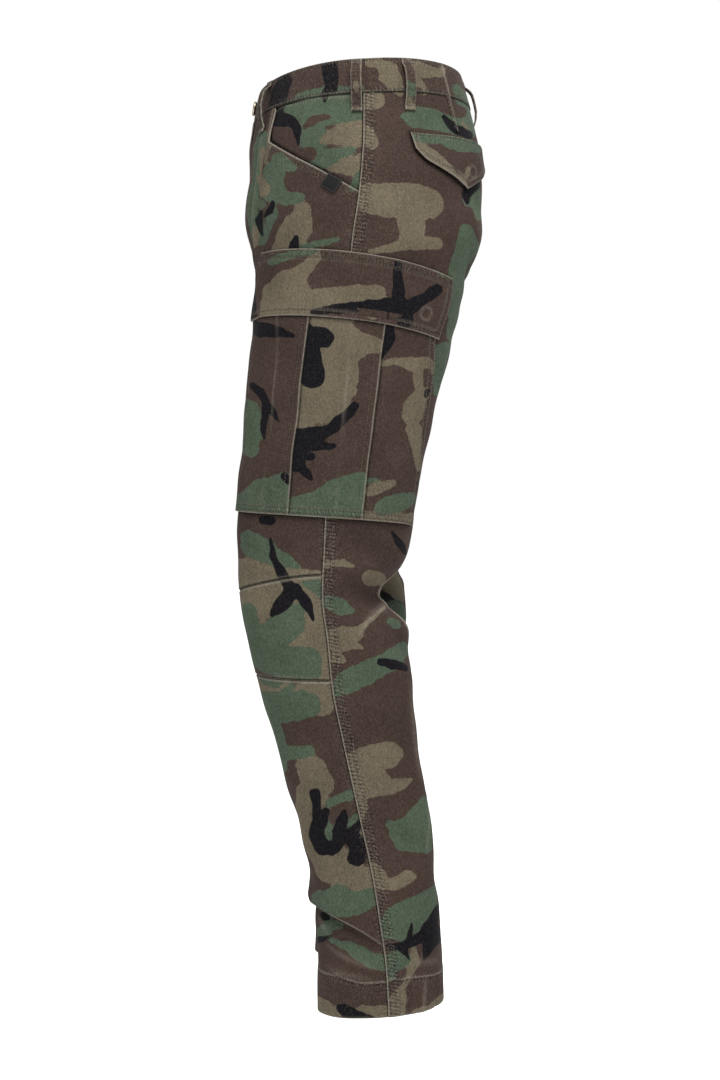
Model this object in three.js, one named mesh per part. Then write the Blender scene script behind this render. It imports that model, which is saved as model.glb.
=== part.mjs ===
// Camouflage cargo trousers in their worn shape, with nobody in them.
//
// Units are millimetres. +Z is up, the front faces -Y and the wearer's left is +X. The origin is
// the middle of the waist opening, level with the top edge of the waistband at the side seams.
//
// One function, shell(), gives any point of the outer cloth surface. Every piece is a wall cut
// from that surface, or laid on it by moving its points out along the surface normal.
import * as THREE from "three";

// Driving dimensions
const OUTSEAM = 1046; // waistband top to hem at the side seam
const TWILL = 1.8; // one layer of heavy cotton twill
const SEAM_GAP = 0.3; // between pieces that are sewn edge to edge
const LAY_GAP = 0.8; // between a piece and the panel that it lies on
const LEG_GAP = 1.7; // the same for a pocket or flap that crosses the side seam
const BACK_ROUND = 2.2; // exponent of the sections' back half, where 2 is an ellipse
const HEM_DEPTH = 38;
const HEM_EXTRA = 0.6; // how far the turned-up hem stands proud
const HEM_TILT = 0.083; // the hem rises towards the back
const HEM_LEVEL = -4; // the Y at which it is the full outseam down
const FELL_WIDTH = 11; // flat-felled seam
const FELL_RISE = 1;

const BAND = { height: 38, thick: 3.2, proud: 1.4, edgeEase: 0.8, rise: { front: -3, back: 15 } };
const UNDERLAP = { length: 34, ramp: 12, inset: 2.4 };
const FLY = { width: 38, past: 5, bottom: -188, curve: 46, thick: 1.6 };
const BUTTON = { radius: 8.5, rim: 7.2, height: 3.6, stand: 0.5, fromCentre: 15, z: -20 };
const SLASH = { topArc: 128, cornerArc: 123, corner: -80, side: -151, under: 10, inset: 3.3, ease: 30 };
const TAB = { arc: -27, width: 19, drop: 15.5, thick: 1.2 };
const LOOP = { width: 12, thick: 2.2 };
const KNEE_DART = { depth: 1.3, half: 6 };
const BACK_DART = { topArc: 108, bottomArc: 117, bottom: -86, width: 9, rise: 1 };

// Named columns for the tables below
function table(columns, rows) {
  return rows.map((row) => Object.fromEntries(columns.map((name, i) => [name, row[i]])));
}

// Level sections of the left half, from the waist down. front, side and back are Y: where the
// section is furthest forward, where its side seam is, and where it is furthest back. mid, outer
// and inner are X: its middle, its side seam and its inseam. centreFront and centreBack are the Y
// of the seams in the middle plane, which meet at the crotch and below it are the inseam's.
// round is the exponent of the front half: 2 is an ellipse, less is pointed, more is square.
const SECTIONS = table(
  ["z", "front", "side", "back", "mid", "outer", "inner", "centreFront", "centreBack", "round"],
  [
    [20, -118, 1, 114, 0, 147, 0, -118, 114, 1.75],
    [0, -122, 0, 120, 2, 151, 0, -122, 120, 1.75],
    [-43, -128, 0, 130, 18, 158, 0, -127, 129, 1.9],
    [-80, -130, 0, 136, 36, 168, 0, -129, 133, 2.1],
    [-120, -131, -2, 138, 52, 178, 0, -129, 134, 2.2],
    [-160, -132, -6, 137, 64, 184, 0, -127, 127, 2.2],
    [-200, -127, -12, 128, 74, 187, 0, -118, 106, 2.2],
    [-230, -124, -15, 118, 81, 187, 0, -101, 79, 2.2],
    [-250, -122, -17, 114, 85, 187, 0, -76, 50, 2.2],
    [-262, -122, -18, 111, 88, 187, 0, -50, 14, 2.2],
    [-268, -122, -19, 110, 89, 187, 0.1, -19, -19, 2.2],
    [-300, -124, -22, 104, 94, 187, 6, -22, -22, 2.2],
    [-350, -131, -27, 90, 99, 186, 15, -27, -27, 2.2],
    [-400, -136, -32, 78, 103, 186, 23, -32, -32, 2.2],
    [-450, -137, -37, 66, 107, 186, 31, -37, -37, 2.2],
    [-500, -140, -41, 56, 111, 186, 39, -41, -41, 2.2],
    [-540, -141, -43, 51, 114, 186, 45, -43, -43, 2.2],
    [-590, -139, -45, 49, 117, 187, 50, -45, -45, 2.2],
    [-640, -131, -39, 50, 120, 188, 54, -39, -39, 2.2],
    [-690, -118, -34, 55, 122, 188, 57, -34, -34, 2.2],
    [-740, -102, -24, 59, 124, 188, 60, -24, -24, 2.2],
    [-790, -89, -13, 66, 127, 189, 63, -13, -13, 2.2],
    [-840, -74, -2, 74, 129, 190, 66, -2, -2, 2.2],
    [-890, -61, 9, 81, 131, 191, 69, 9, 9, 2.2],
    [-940, -53, 17, 85, 133, 193, 72, 17, 17, 2.2],
    [-990, -50, 24, 88, 134, 195, 73, 24, 24, 2.2],
    [-1060, -50, 28, 90, 135, 196, 74, 28, 28, 2.2],
  ],
);

// How far forward or back the right leg stands from the left one's place
const RIGHT_POSE = table(
  ["z", "shift"],
  [
    [20, 0],
    [-400, 0],
    [-640, 5],
    [-1046, -10],
  ],
);

// The largest folds. across is 0 at the centre or inseam and 1 at the side seam. A hollow has
// a negative depth. slope is how far the fold drops from its middle to the side seam. A ledge
// stands out above its line and tucks in below it.
const FOLDS = table(
  ["leg", "part", "z", "across", "halfHeight", "halfWidth", "depth", "slope", "ledge"],
  [
    ["left", "back", -588, 0.5, 24, 0.36, -33, 0, false],
    ["right", "back", -566, 0.5, 20, 0.36, -9, 0, false],
    ["left", "front", -934, 0.55, 24, 0.42, 7, -34, true],
    ["right", "front", -946, 0.5, 24, 0.42, 6, -22, true],
    ["left", "back", -905, 0.45, 20, 0.3, -3, 0, false],
    ["right", "back", -880, 0.5, 20, 0.3, -4, 0, false],
    ["left", "front", -236, 0.22, 16, 0.2, -4, 0, false],
    ["right", "front", -232, 0.24, 16, 0.2, -4, 0, false],
    ["left", "back", -300, 0.35, 16, 0.26, -4, 0, false],
    ["right", "back", -296, 0.35, 16, 0.26, -4, 0, false],
  ],
);

// Seams pinched into the front at the knee: the line's height at the side seam and at the front
const KNEE_DARTS = table(
  ["side", "front"],
  [
    [-568, -587],
    [-682, -680],
  ],
);

// Heights of the rows of points down a panel, closer together where the cloth bends more
const PANEL_ROWS = [
  -BAND.height - SEAM_GAP, -64, -92, -120, -150, -178, -200, -220, -236, -248, -257, -263, -268.4,
  -277, -292, -316,
  -345, -380, -418, -455, -490, -520, -545, -560, -573, -581, -588, -597, -608, -622, -642, -664,
  -676, -681, -688, -712, -746, -784, -824, -862, -893, -914, -928, -939, -952, -975, -1008, -1046,
];
const PANEL_COLUMNS = 11;

// Monotone cubic through one column of a table, against its z
function columnAt(rows, name, z) {
  const last = rows.length - 1;
  let i = 0;
  while (i < last - 1 && z < rows[i + 1].z) i++;
  const slope = (k) => (rows[k + 1][name] - rows[k][name]) / (rows[k + 1].z - rows[k].z);
  const tangent = (k) => {
    if (k === 0) return slope(0);
    if (k === last) return slope(last - 1);
    const before = slope(k - 1);
    const after = slope(k);
    return before * after <= 0 ? 0 : (2 * before * after) / (before + after);
  };
  const step = rows[i + 1].z - rows[i].z;
  const t = THREE.MathUtils.clamp((z - rows[i].z) / step, 0, 1);
  const a = rows[i][name];
  const b = rows[i + 1][name];
  return (
    a * (1 + 2 * t) * (1 - t) ** 2 +
    b * t * t * (3 - 2 * t) +
    step * (tangent(i) * t * (1 - t) ** 2 - tangent(i + 1) * t * t * (1 - t))
  );
}

const { smoothstep, lerp, clamp } = THREE.MathUtils;

// One half of a level section: points from the centre or inseam to the side seam
const SECTION_STEPS = 32;
function sectionLine(part, z) {
  const at = (name) => columnAt(SECTIONS, name, z);
  const side = at("side");
  const reach = at(part) - side;
  const seam = at(part === "front" ? "centreFront" : "centreBack") - side;
  const mid = at("mid");
  const inward = mid - at("inner") - SEAM_GAP / 2;
  const round = part === "front" ? at("round") : BACK_ROUND;
  const cut = clamp(seam / reach, 0, 0.9999);
  const fullness = (1 - cut ** round) ** (1 / round);
  const line = [];
  for (let i = SECTION_STEPS; i > 0; i--) {
    const t = Math.sin(((i / SECTION_STEPS) * Math.PI) / 2);
    const y = side + reach * (1 - (fullness * t) ** round) ** (1 / round);
    line.push(new THREE.Vector2(mid - inward * t, y));
  }
  const outward = at("outer") - mid;
  for (let i = 0; i <= SECTION_STEPS; i++) {
    const angle = ((i / SECTION_STEPS) * Math.PI) / 2;
    const x = mid + outward * Math.sin(angle) ** (2 / round);
    line.push(new THREE.Vector2(x, side + reach * Math.cos(angle) ** (2 / round)));
  }
  return line;
}

const sectionCache = new Map();
function section(part, z) {
  const key = part + z.toFixed(3);
  if (!sectionCache.has(key)) {
    const line = sectionLine(part, z);
    const lengths = [0];
    for (let i = 1; i < line.length; i++) {
      lengths.push(lengths[i - 1] + line[i].distanceTo(line[i - 1]));
    }
    sectionCache.set(key, { line, lengths });
  }
  return sectionCache.get(key);
}

function girth(part, z) {
  return section(part, z).lengths.at(-1);
}

// The point a share `across` of the way from the centre or inseam to the side seam
function sectionPoint(part, across, z) {
  const { line, lengths } = section(part, z);
  const total = lengths.at(-1);
  const want = SEAM_GAP / 2 + across * (total - SEAM_GAP);
  let i = 1;
  while (i < lengths.length - 1 && lengths[i] < want) i++;
  const t = (want - lengths[i - 1]) / (lengths[i] - lengths[i - 1]);
  return line[i - 1].clone().lerp(line[i], t);
}

// How far the cloth is pushed out by the folds
function foldAt(leg, part, across, z) {
  let out = 0;
  for (const fold of FOLDS) {
    if (fold.leg !== leg || fold.part !== part) continue;
    const wide = Math.exp(-(((across - fold.across) / fold.halfWidth) ** 4));
    const line = fold.z + (fold.slope * (across - fold.across)) / (1 - fold.across);
    const above = (z - line) / fold.halfHeight;
    const ledge = above > 0 ? Math.exp(-(above ** 2)) : -0.35 * Math.exp(-((above * 1.6) ** 2));
    const eased = fold.ledge ? ledge * smoothstep(Math.abs(above), 0, 0.25) : Math.exp(-(above ** 2));
    out += fold.depth * wide * eased;
  }
  return out;
}

function barePoint(leg, part, across, z) {
  const flat = sectionPoint(part, across, z);
  const shift = leg === "right" ? columnAt(RIGHT_POSE, "shift", z) : 0;
  return new THREE.Vector3(flat.x, flat.y + shift, z);
}

// Outward normal of the left half's surface, without folds
function bareNormal(leg, part, across, z) {
  const step = 0.01;
  const near = clamp(across, step, 1 - step);
  const along = barePoint(leg, part, near + step, z).sub(barePoint(leg, part, near - step, z));
  const down = barePoint(leg, part, near, z - 4).sub(barePoint(leg, part, near, z + 4));
  const normal = along.cross(down).normalize();
  return part === "front" ? normal.negate() : normal;
}

// A point of the garment, moved `out` from its outer surface, and the normal there
function shell(leg, part, across, z, out = 0) {
  const normal = bareNormal(leg, part, across, z);
  const point = barePoint(leg, part, across, z);
  point.addScaledVector(normal, foldAt(leg, part, across, z) + out);
  point.x = Math.max(point.x, SEAM_GAP / 2);
  if (leg === "right") {
    point.x *= -1;
    normal.x *= -1;
  }
  return { point, normal };
}

// The same, by the distance round the cloth from the side seam: forward is negative
function shellByArc(leg, arc, z, out = 0) {
  const part = arc < 0 ? "front" : "back";
  const across = 1 - Math.abs(arc) / girth(part, z);
  return shell(leg, part, across, z, out);
}

// The waist is higher at the back than at the front, and the rows follow it near the top
function waistRise(part, across) {
  return BAND.rise[part] * (1 - across);
}

function slashLine(arc) {
  const { topArc, cornerArc, corner, side } = SLASH;
  if (arc <= -topArc) return -BAND.height;
  if (arc <= -cornerArc) return lerp(-BAND.height, corner, (arc + topArc) / (topArc - cornerArc));
  return lerp(corner, side, (arc + cornerArc) / cornerArc);
}

function frontTop(across) {
  let z = PANEL_ROWS[0];
  for (let i = 0; i < 4; i++) z = slashLine(-(1 - across) * girth("front", z)) - SEAM_GAP;
  return z;
}

const TOP_FADE = 200; // the rows are level again this far below the waist
const DART_FADE = 34;
function rowHeight(part, across, row) {
  const fade = clamp((row + TOP_FADE) / (TOP_FADE + PANEL_ROWS[0]), 0, 1);
  let z = row + waistRise(part, across) * fade + ledgeShift(part, across, row);
  z += HEM_TILT * (sectionPoint(part, across, row).y - HEM_LEVEL) * smoothstep(-row, OUTSEAM - 110, OUTSEAM);
  if (part === "front") z += (frontTop(across) - PANEL_ROWS[0]) * fade + dartShift(across, row);
  return z;
}

// Rows near the front's lowest fold slant with it, and run back to level across the back
const LEDGE_ROWS = 90;
const LEDGE_SHARE = 0.62;
function ledgeShift(part, across, row) {
  const ledge = FOLDS.find((fold) => fold.leg === "left" && fold.ledge);
  const near = Math.max(0, 1 - ((row - ledge.z) / LEDGE_ROWS) ** 2);
  const lean = part === "front" ? (across - ledge.across) / (1 - ledge.across) : across ** 3;
  return LEDGE_SHARE * near * ledge.slope * lean;
}

// Rows near a knee dart lean with its line, which drops from the side seam to the front
function dartShift(across, row) {
  const [upper] = KNEE_DARTS;
  const near = Math.max(0, 1 - Math.abs(row - upper.front) / DART_FADE);
  return near * (upper.side - upper.front) * smoothstep(across, 0.45, 1);
}

function dartDepth(across, z) {
  let depth = 0;
  for (const dart of KNEE_DARTS) {
    const line = lerp(dart.front, dart.side, smoothstep(across, 0.45, 1));
    const close = Math.max(0, 1 - Math.abs(z - line) / KNEE_DART.half);
    depth += KNEE_DART.depth * close * smoothstep(across, 0.5, 0.75);
  }
  return depth;
}

// Turns a grid of outer and inner points into one closed wall
function wallGeometry(rows, columns, pointsAt) {
  const positions = [];
  const outer = (i, j) => 2 * (i * columns + j);
  for (let i = 0; i < rows; i++) {
    for (let j = 0; j < columns; j++) {
      const { outside, inside } = pointsAt(i, j);
      positions.push(...outside.toArray(), ...inside.toArray());
    }
  }
  const index = [];
  const quad = (a, b, c, d) => index.push(a, b, c, a, c, d);
  for (let i = 0; i < rows - 1; i++) {
    for (let j = 0; j < columns - 1; j++) {
      const [a, b, c, d] = [outer(i, j), outer(i + 1, j), outer(i + 1, j + 1), outer(i, j + 1)];
      quad(a, b, c, d);
      quad(a + 1, d + 1, c + 1, b + 1);
    }
  }
  for (let i = 0; i < rows - 1; i++) {
    const [a, b] = [outer(i, 0), outer(i + 1, 0)];
    const [c, d] = [outer(i, columns - 1), outer(i + 1, columns - 1)];
    quad(a, a + 1, b + 1, b);
    quad(d, d + 1, c + 1, c);
  }
  for (let j = 0; j < columns - 1; j++) {
    const [a, b] = [outer(0, j), outer(0, j + 1)];
    const [c, d] = [outer(rows - 1, j), outer(rows - 1, j + 1)];
    quad(b, b + 1, a + 1, a);
    quad(c, c + 1, d + 1, d);
  }
  const geometry = new THREE.BufferGeometry();
  geometry.setAttribute("position", new THREE.Float32BufferAttribute(positions, 3));
  geometry.setIndex(index);
  return faceOutward(geometry);
}

function faceOutward(geometry) {
  const position = geometry.getAttribute("position");
  const index = geometry.getIndex();
  const corner = [0, 1, 2].map(() => new THREE.Vector3());
  let volume = 0;
  for (let i = 0; i < index.count; i += 3) {
    corner.forEach((v, k) => v.fromBufferAttribute(position, index.getX(i + k)));
    volume += corner[0].dot(corner[1].clone().cross(corner[2]));
  }
  if (volume < 0) {
    for (let i = 0; i < index.count; i += 3) {
      const second = index.getX(i + 1);
      index.setX(i + 1, index.getX(i + 2));
      index.setX(i + 2, second);
    }
  }
  geometry.computeVertexNormals();
  return geometry;
}

// The two faces of a wall at one point of the garment: `out` to the outer face, less `thick`
function faces(place, thick) {
  const inside = place.point.clone().addScaledVector(place.normal, -thick);
  return { outside: place.point, inside };
}

const COLOURS = { camo: 0x5a4d43, band: 0x54493f, pocket: 0x5f5246, loop: 0x4f453d, tab: 0x17171a };
function cloth(colour) {
  return new THREE.MeshStandardMaterial({ color: colour, roughness: 0.92, metalness: 0 });
}

const trousers = new THREE.Group();
function addPiece(name, geometry, material) {
  const mesh = new THREE.Mesh(geometry, material);
  mesh.name = name;
  trousers.add(mesh);
}

// Places across a panel: even, with a column where the felled seam ends at each side
function panelColumns(part) {
  const seam = FELL_WIDTH / girth(part, -400);
  const even = [];
  for (let i = 1; i < PANEL_COLUMNS; i++) even.push(i / PANEL_COLUMNS);
  if (part === "back") return [0, seam * 0.5, seam, ...even.slice(1, -1), 1 - seam, 1 - seam * 0.5, 1];
  const start = 1 - SLASH.topArc / girth("front", -BAND.height);
  const corner = 1 - SLASH.cornerArc / girth("front", SLASH.corner);
  return [0, ...even.filter((w) => Math.abs(w - start) > 0.05), start, corner, 1].sort((a, b) => a - b);
}

// A front or back leg panel, from the waistband seam to the hem
function legPanel(leg, part) {
  const columns = panelColumns(part);
  const felled = part === "back" ? FELL_WIDTH / girth(part, -400) : 0;
  return wallGeometry(PANEL_ROWS.length, columns.length, (i, j) => {
    const across = columns[j];
    const z = rowHeight(part, across, PANEL_ROWS[i]);
    const hem = PANEL_ROWS[i] < -OUTSEAM + HEM_DEPTH + 1 ? HEM_EXTRA : 0;
    const onSeam = part === "back" && (across < felled * 0.75 || across > 1 - felled * 0.75);
    const relief = hem + (onSeam ? FELL_RISE : 0) - (part === "front" ? dartDepth(across, z) : 0);
    const place = shell(leg, part, across, z, relief);
    const inner = shell(leg, part, across, z, -TWILL);
    return { outside: place.point, inside: inner.point };
  });
}

// The hip patch that shows above the slanted pocket opening and runs under the front panel
const PATCH = { frontArc: -141, edge: -0.15, columns: 9, rows: 6 };
function hipPatch(leg) {
  return wallGeometry(PATCH.rows + 1, PATCH.columns + 1, (i, j) => {
    const arc = lerp(PATCH.frontArc, PATCH.edge, j / PATCH.columns);
    const top = -BAND.height - SEAM_GAP + waistRise("front", 1 + arc / girth("front", -BAND.height));
    const bottom = lerp(SLASH.corner, SLASH.side, (arc + SLASH.cornerArc) / SLASH.cornerArc) - SLASH.under;
    const z = lerp(top, bottom, i / PATCH.rows);
    const clear = Math.min(z - slashLine(arc), arc + SLASH.topArc);
    const inset = SLASH.inset * (1 - smoothstep(clear, 0, SLASH.ease));
    return faces(shellByArc(leg, arc, z, -inset), TWILL);
  });
}

// Half of the waistband, from the centre front round to the centre back
const BAND_COLUMNS = 11;
const BAND_ROWS = [
  { z: 0, ease: 1 },
  { z: -3, ease: 0 },
  { z: 3 - BAND.height, ease: 0 },
  { z: -BAND.height, ease: 1 },
];
function bandStations(leg) {
  const stations = [];
  if (leg === "right") {
    const frontGirth = girth("front", 0);
    for (const arc of [UNDERLAP.length, UNDERLAP.length / 2, 1]) {
      stations.push({ leg: "left", part: "front", across: arc / frontGirth, inset: UNDERLAP.inset });
    }
    stations.push({ leg, part: "front", across: 1 / frontGirth, inset: UNDERLAP.inset });
    stations.push({ leg, part: "front", across: UNDERLAP.ramp / frontGirth, inset: -BAND.proud });
  }
  for (let i = leg === "right" ? 1 : 0; i <= BAND_COLUMNS; i++) {
    stations.push({ leg, part: "front", across: i / BAND_COLUMNS, inset: -BAND.proud });
  }
  for (let i = BAND_COLUMNS - 1; i >= 0; i--) {
    stations.push({ leg, part: "back", across: i / BAND_COLUMNS, inset: -BAND.proud });
  }
  return stations;
}

function waistband(leg) {
  const stations = bandStations(leg);
  return wallGeometry(BAND_ROWS.length, stations.length, (i, j) => {
    const station = stations[j];
    const z = BAND_ROWS[i].z + waistRise(station.part, station.across);
    const ease = BAND_ROWS[i].ease * BAND.edgeEase;
    const outer = shell(station.leg, station.part, station.across, z, -station.inset - ease);
    const inner = shell(station.leg, station.part, station.across, z, -station.inset - BAND.thick + ease);
    return { outside: outer.point, inside: inner.point };
  });
}

// Belt loops: where each sits round the waist, how far its lower end leans, how far it stands
// off below the waistband, and how much longer it is than the shortest
const LOOPS = table(
  ["name", "leg", "arc", "lean", "lift", "extra"],
  [
    ["front_left", "left", -140, 0, 0, 6],
    ["front_right", "right", -140, 0, 0, 6],
    ["side_left", "left", -7, 0, 0, 0],
    ["side_right", "right", -7, 0, 0, 0],
    ["back_left", "left", 48, 5, 0, 0],
    ["back_right", "right", 48, 5, 0, 0],
    ["centre_back", "left", Infinity, 0, FELL_RISE, 0],
  ],
);

// Down a belt loop: the share of its length, and the gap between it and the waistband
const LOOP_LENGTH = 60;
const LOOP_TOP = 1;
const LOOP_BOW = table(
  ["share", "gap"],
  [
    [0, 0.6],
    [0.1, 0.7],
    [0.18, 4.4],
    [0.29, 7.2],
    [0.45, 7.6],
    [0.6, 7.3],
    [0.74, 5.6],
    [0.84, 2.6],
    [0.91, 0.7],
    [1, 0.7],
  ],
);

function beltLoop({ leg, arc, lean, lift, extra }) {
  const centred = !Number.isFinite(arc);
  return wallGeometry(LOOP_BOW.length, 2, (i, j) => {
    const { share, gap } = LOOP_BOW[i];
    const height = LOOP_TOP - share * (LOOP_LENGTH + extra);
    const part = centred || arc > 0 ? "back" : "front";
    const across = centred ? 0 : 1 - Math.abs(arc + lean * share) / girth(part, height);
    const z = height + waistRise(part, across);
    const onBand = height > -BAND.height ? BAND.proud : lift;
    const { point, normal } = shell(leg, part, across, z, onBand + gap + LOOP.thick);
    if (centred) {
      point.x = 0;
      normal.set(0, 1, 0);
    }
    normal.setZ(0).normalize();
    const sideways = new THREE.Vector3(-normal.y, normal.x, 0).multiplyScalar((j - 0.5) * LOOP.width);
    return faces({ point: point.add(sideways), normal }, LOOP.thick);
  });
}

// A four-sided patch of cloth on the garment, by its corners' arcs and heights
function onPatch(corners, p, q) {
  const [arc, z] = [0, 1].map((k) => {
    const top = lerp(corners.topFront[k], corners.topBack[k], p);
    const low = lerp(corners.lowFront[k], corners.lowBack[k], p);
    return lerp(top, low, q);
  });
  return { arc, z };
}

const CARGO = { topFront: [-146, -272], topBack: [109, -294], lowFront: [-132, -497], lowBack: [117, -513] };
const CARGO_FLAP = {
  topFront: [-115, -210.5],
  topBack: [127, -240],
  lowFront: [-149, -283],
  lowBack: [115, -308.5],
};
const CARGO_ARCH = 7; // rise of the pocket's top edge in the middle
const CARGO_TUCK = 24; // how far the pocket's front edge curves back halfway down
const FLAP_ARCH = 6.6;
const PLEAT_LEAN = 0.058; // the pleats run down forward by this share of the pocket's width

function onCargo(place, q) {
  const lean = PLEAT_LEAN * (0.5 - q) * smoothstep(Math.min(place, 1 - place), 0, 0.25);
  const { arc, z } = onPatch(CARGO, place + lean, q);
  const tuck = CARGO_TUCK * Math.sin(Math.PI * q) * (1 - smoothstep(place, 0, 0.38));
  return { arc: arc + tuck, z: z + CARGO_ARCH * Math.sin(Math.PI * place) * (1 - q) };
}

// Across the cargo pocket: how far its wall stands off the leg, and the relief on its outer
// face. The cloth climbs to each pleat's folded edge and drops behind it.
const PLEATS = table(
  ["p", "relief"],
  [
    [0, 0],
    [0.03, 0.3],
    [0.12, 1.1],
    [0.25, 2.1],
    [0.395, 3.4],
    [0.409, 0.2],
    [0.51, 0.9],
    [0.61, 1.9],
    [0.716, 3.4],
    [0.73, 0.2],
    [0.79, 0.5],
    [0.86, 0.8],
    [0.92, 0.6],
    [0.97, 0.3],
    [1, 0],
  ],
);
const CARGO_ROWS = [0, 0.04, 0.16, 0.34, 0.54, 0.74, 0.9, 0.965, 1];
const CARGO_BULGE = 1.9;

function cargoPocket(leg) {
  return wallGeometry(CARGO_ROWS.length, PLEATS.length, (i, j) => {
    const q = CARGO_ROWS[i];
    const { p, relief } = PLEATS[j];
    const { arc, z } = onCargo(p, q);
    const bulge = CARGO_BULGE * Math.sqrt(Math.sin(Math.PI * p) * Math.sin(Math.PI * clamp(q, 0.08, 0.97)));
    const opened = lerp(0.35, 1, smoothstep(q, 0, 0.3)) * lerp(1, 0.4, smoothstep(q, 0.9, 1));
    const inner = shellByArc(leg, arc, z, LEG_GAP + bulge);
    const outer = shellByArc(leg, arc, z, LEG_GAP + bulge + TWILL + relief * opened);
    return { outside: outer.point, inside: inner.point };
  });
}

const FLAP_COLUMNS = 12;
const FLAP_RISE = table(
  ["q", "out"],
  [
    [0, 0],
    [0.07, 0.1],
    [0.35, 1.6],
    [0.7, 4.4],
    [0.9, 5.8],
    [1, 6.4],
  ],
);
const FLAP_THICK = 2.4;

function cargoFlap(leg) {
  return wallGeometry(FLAP_RISE.length, FLAP_COLUMNS + 1, (i, j) => {
    const { q, out } = FLAP_RISE[i];
    const p = j / FLAP_COLUMNS;
    const { arc, z: low } = onPatch(CARGO_FLAP, p, q);
    const z = low + FLAP_ARCH * Math.sin(Math.PI * p);
    const edge = lerp(0.86, 1, smoothstep(Math.min(p, 1 - p), 0, 0.1));
    return faces(shellByArc(leg, arc, z, LEG_GAP + out * edge + FLAP_THICK), FLAP_THICK);
  });
}

// The pointed flap over the inside back pocket, the point in its middle
const BACK_FLAP = { front: 52, back: 213, top: -87, thick: 2.4, stand: 1.4 };
const BACK_FLAP_DEPTH = table(
  ["p", "depth"],
  [
    [0, 19],
    [0.04, 24],
    [0.12, 31],
    [0.25, 41],
    [0.38, 50.5],
    [0.5, 60],
    [0.62, 50.5],
    [0.75, 41],
    [0.88, 31],
    [0.96, 24],
    [1, 19],
  ],
);
const BACK_FLAP_ROWS = [0, 0.12, 0.4, 0.75, 1];
function backFlap(leg) {
  const { front, back, top, thick, stand } = BACK_FLAP;
  return wallGeometry(BACK_FLAP_ROWS.length, BACK_FLAP_DEPTH.length, (i, j) => {
    const { p, depth } = BACK_FLAP_DEPTH[j];
    const q = BACK_FLAP_ROWS[i];
    const arc = lerp(front, back, p);
    const across = 1 - arc / girth("back", top);
    const z = top + waistRise("back", across) - q * depth;
    return faces(shellByArc(leg, arc, z, LAY_GAP + stand * q ** 1.5 + thick), thick);
  });
}

// The stitched-down fold that shapes the back, from the waistband seam to the pocket flap
function backDart(leg) {
  const rows = 4;
  return wallGeometry(rows + 1, 3, (i, j) => {
    const share = i / rows;
    const middle = lerp(BACK_DART.topArc, BACK_DART.bottomArc, share);
    const arc = middle + ((j - 1) * BACK_DART.width) / 2;
    const across = 1 - arc / girth("back", -BAND.height);
    const z = lerp(-BAND.height - SEAM_GAP, BACK_DART.bottom + 6, share) + waistRise("back", across);
    const crown = j === 1 ? BACK_DART.rise : 0.4;
    return faces(shellByArc(leg, arc, z, LAY_GAP * 0.6 + crown), crown);
  });
}

// The fly's facing strip on the left front, with a curved lower end
const FLY_COLUMNS = 5;
const FLY_ROWS = 12;
function flyPlacket() {
  return wallGeometry(FLY_ROWS + 1, FLY_COLUMNS + 1, (i, j) => {
    const offset = lerp(-FLY.past, FLY.width, j / FLY_COLUMNS);
    const leg = offset < 0 ? "right" : "left";
    const round = FLY.curve * (1 - Math.sqrt(1 - clamp(offset / FLY.width, 0, 0.995) ** 2));
    const top = -BAND.height - SEAM_GAP + BAND.rise.front;
    const z = lerp(top, FLY.bottom + round, i / FLY_ROWS);
    const across = Math.abs(offset) / girth("front", z);
    const inner = shell(leg, "front", across, z, LAY_GAP);
    const outer = shell(leg, "front", across, z, LAY_GAP + FLY.thick);
    return { outside: outer.point, inside: inner.point };
  });
}

// A plain woven tab on the edge of the left hip pocket, square to the edge
function pocketTab() {
  const rows = 3;
  const slope = Math.atan2(SLASH.corner - SLASH.side, SLASH.cornerArc);
  return wallGeometry(rows + 1, 2, (i, j) => {
    const along = (j - 0.5) * TAB.width;
    const down = (TAB.drop * i) / rows;
    const arc = TAB.arc + along * Math.cos(slope) - down * Math.sin(slope);
    const z = slashLine(TAB.arc) - along * Math.sin(slope) - down * Math.cos(slope);
    return faces(shellByArc("left", arc, z, LAY_GAP + TAB.thick), TAB.thick);
  });
}

// The waistband's shank button: a turned metal disc with a rolled rim
function buttonGeometry() {
  const { radius, rim, height } = BUTTON;
  const profile = [
    [0, 0],
    [rim, 0],
    [radius, height * 0.35],
    [radius, height * 0.7],
    [rim, height],
    [rim * 0.8, height * 0.82],
    [rim * 0.3, height * 0.9],
    [0, height * 0.9],
  ];
  return new THREE.LatheGeometry(
    profile.map(([r, h]) => new THREE.Vector2(r, h)),
    24,
  );
}

function addButton() {
  const across = BUTTON.fromCentre / girth("front", 0);
  const { point, normal } = shell("left", "front", across, BUTTON.z, BAND.proud + BUTTON.stand);
  const button = new THREE.Mesh(
    buttonGeometry(),
    new THREE.MeshStandardMaterial({ color: 0x8d8f90, roughness: 0.35, metalness: 1 }),
  );
  button.name = "waist_button";
  button.position.copy(point);
  button.quaternion.setFromUnitVectors(new THREE.Vector3(0, 1, 0), normal);
  trousers.add(button);
}

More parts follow.
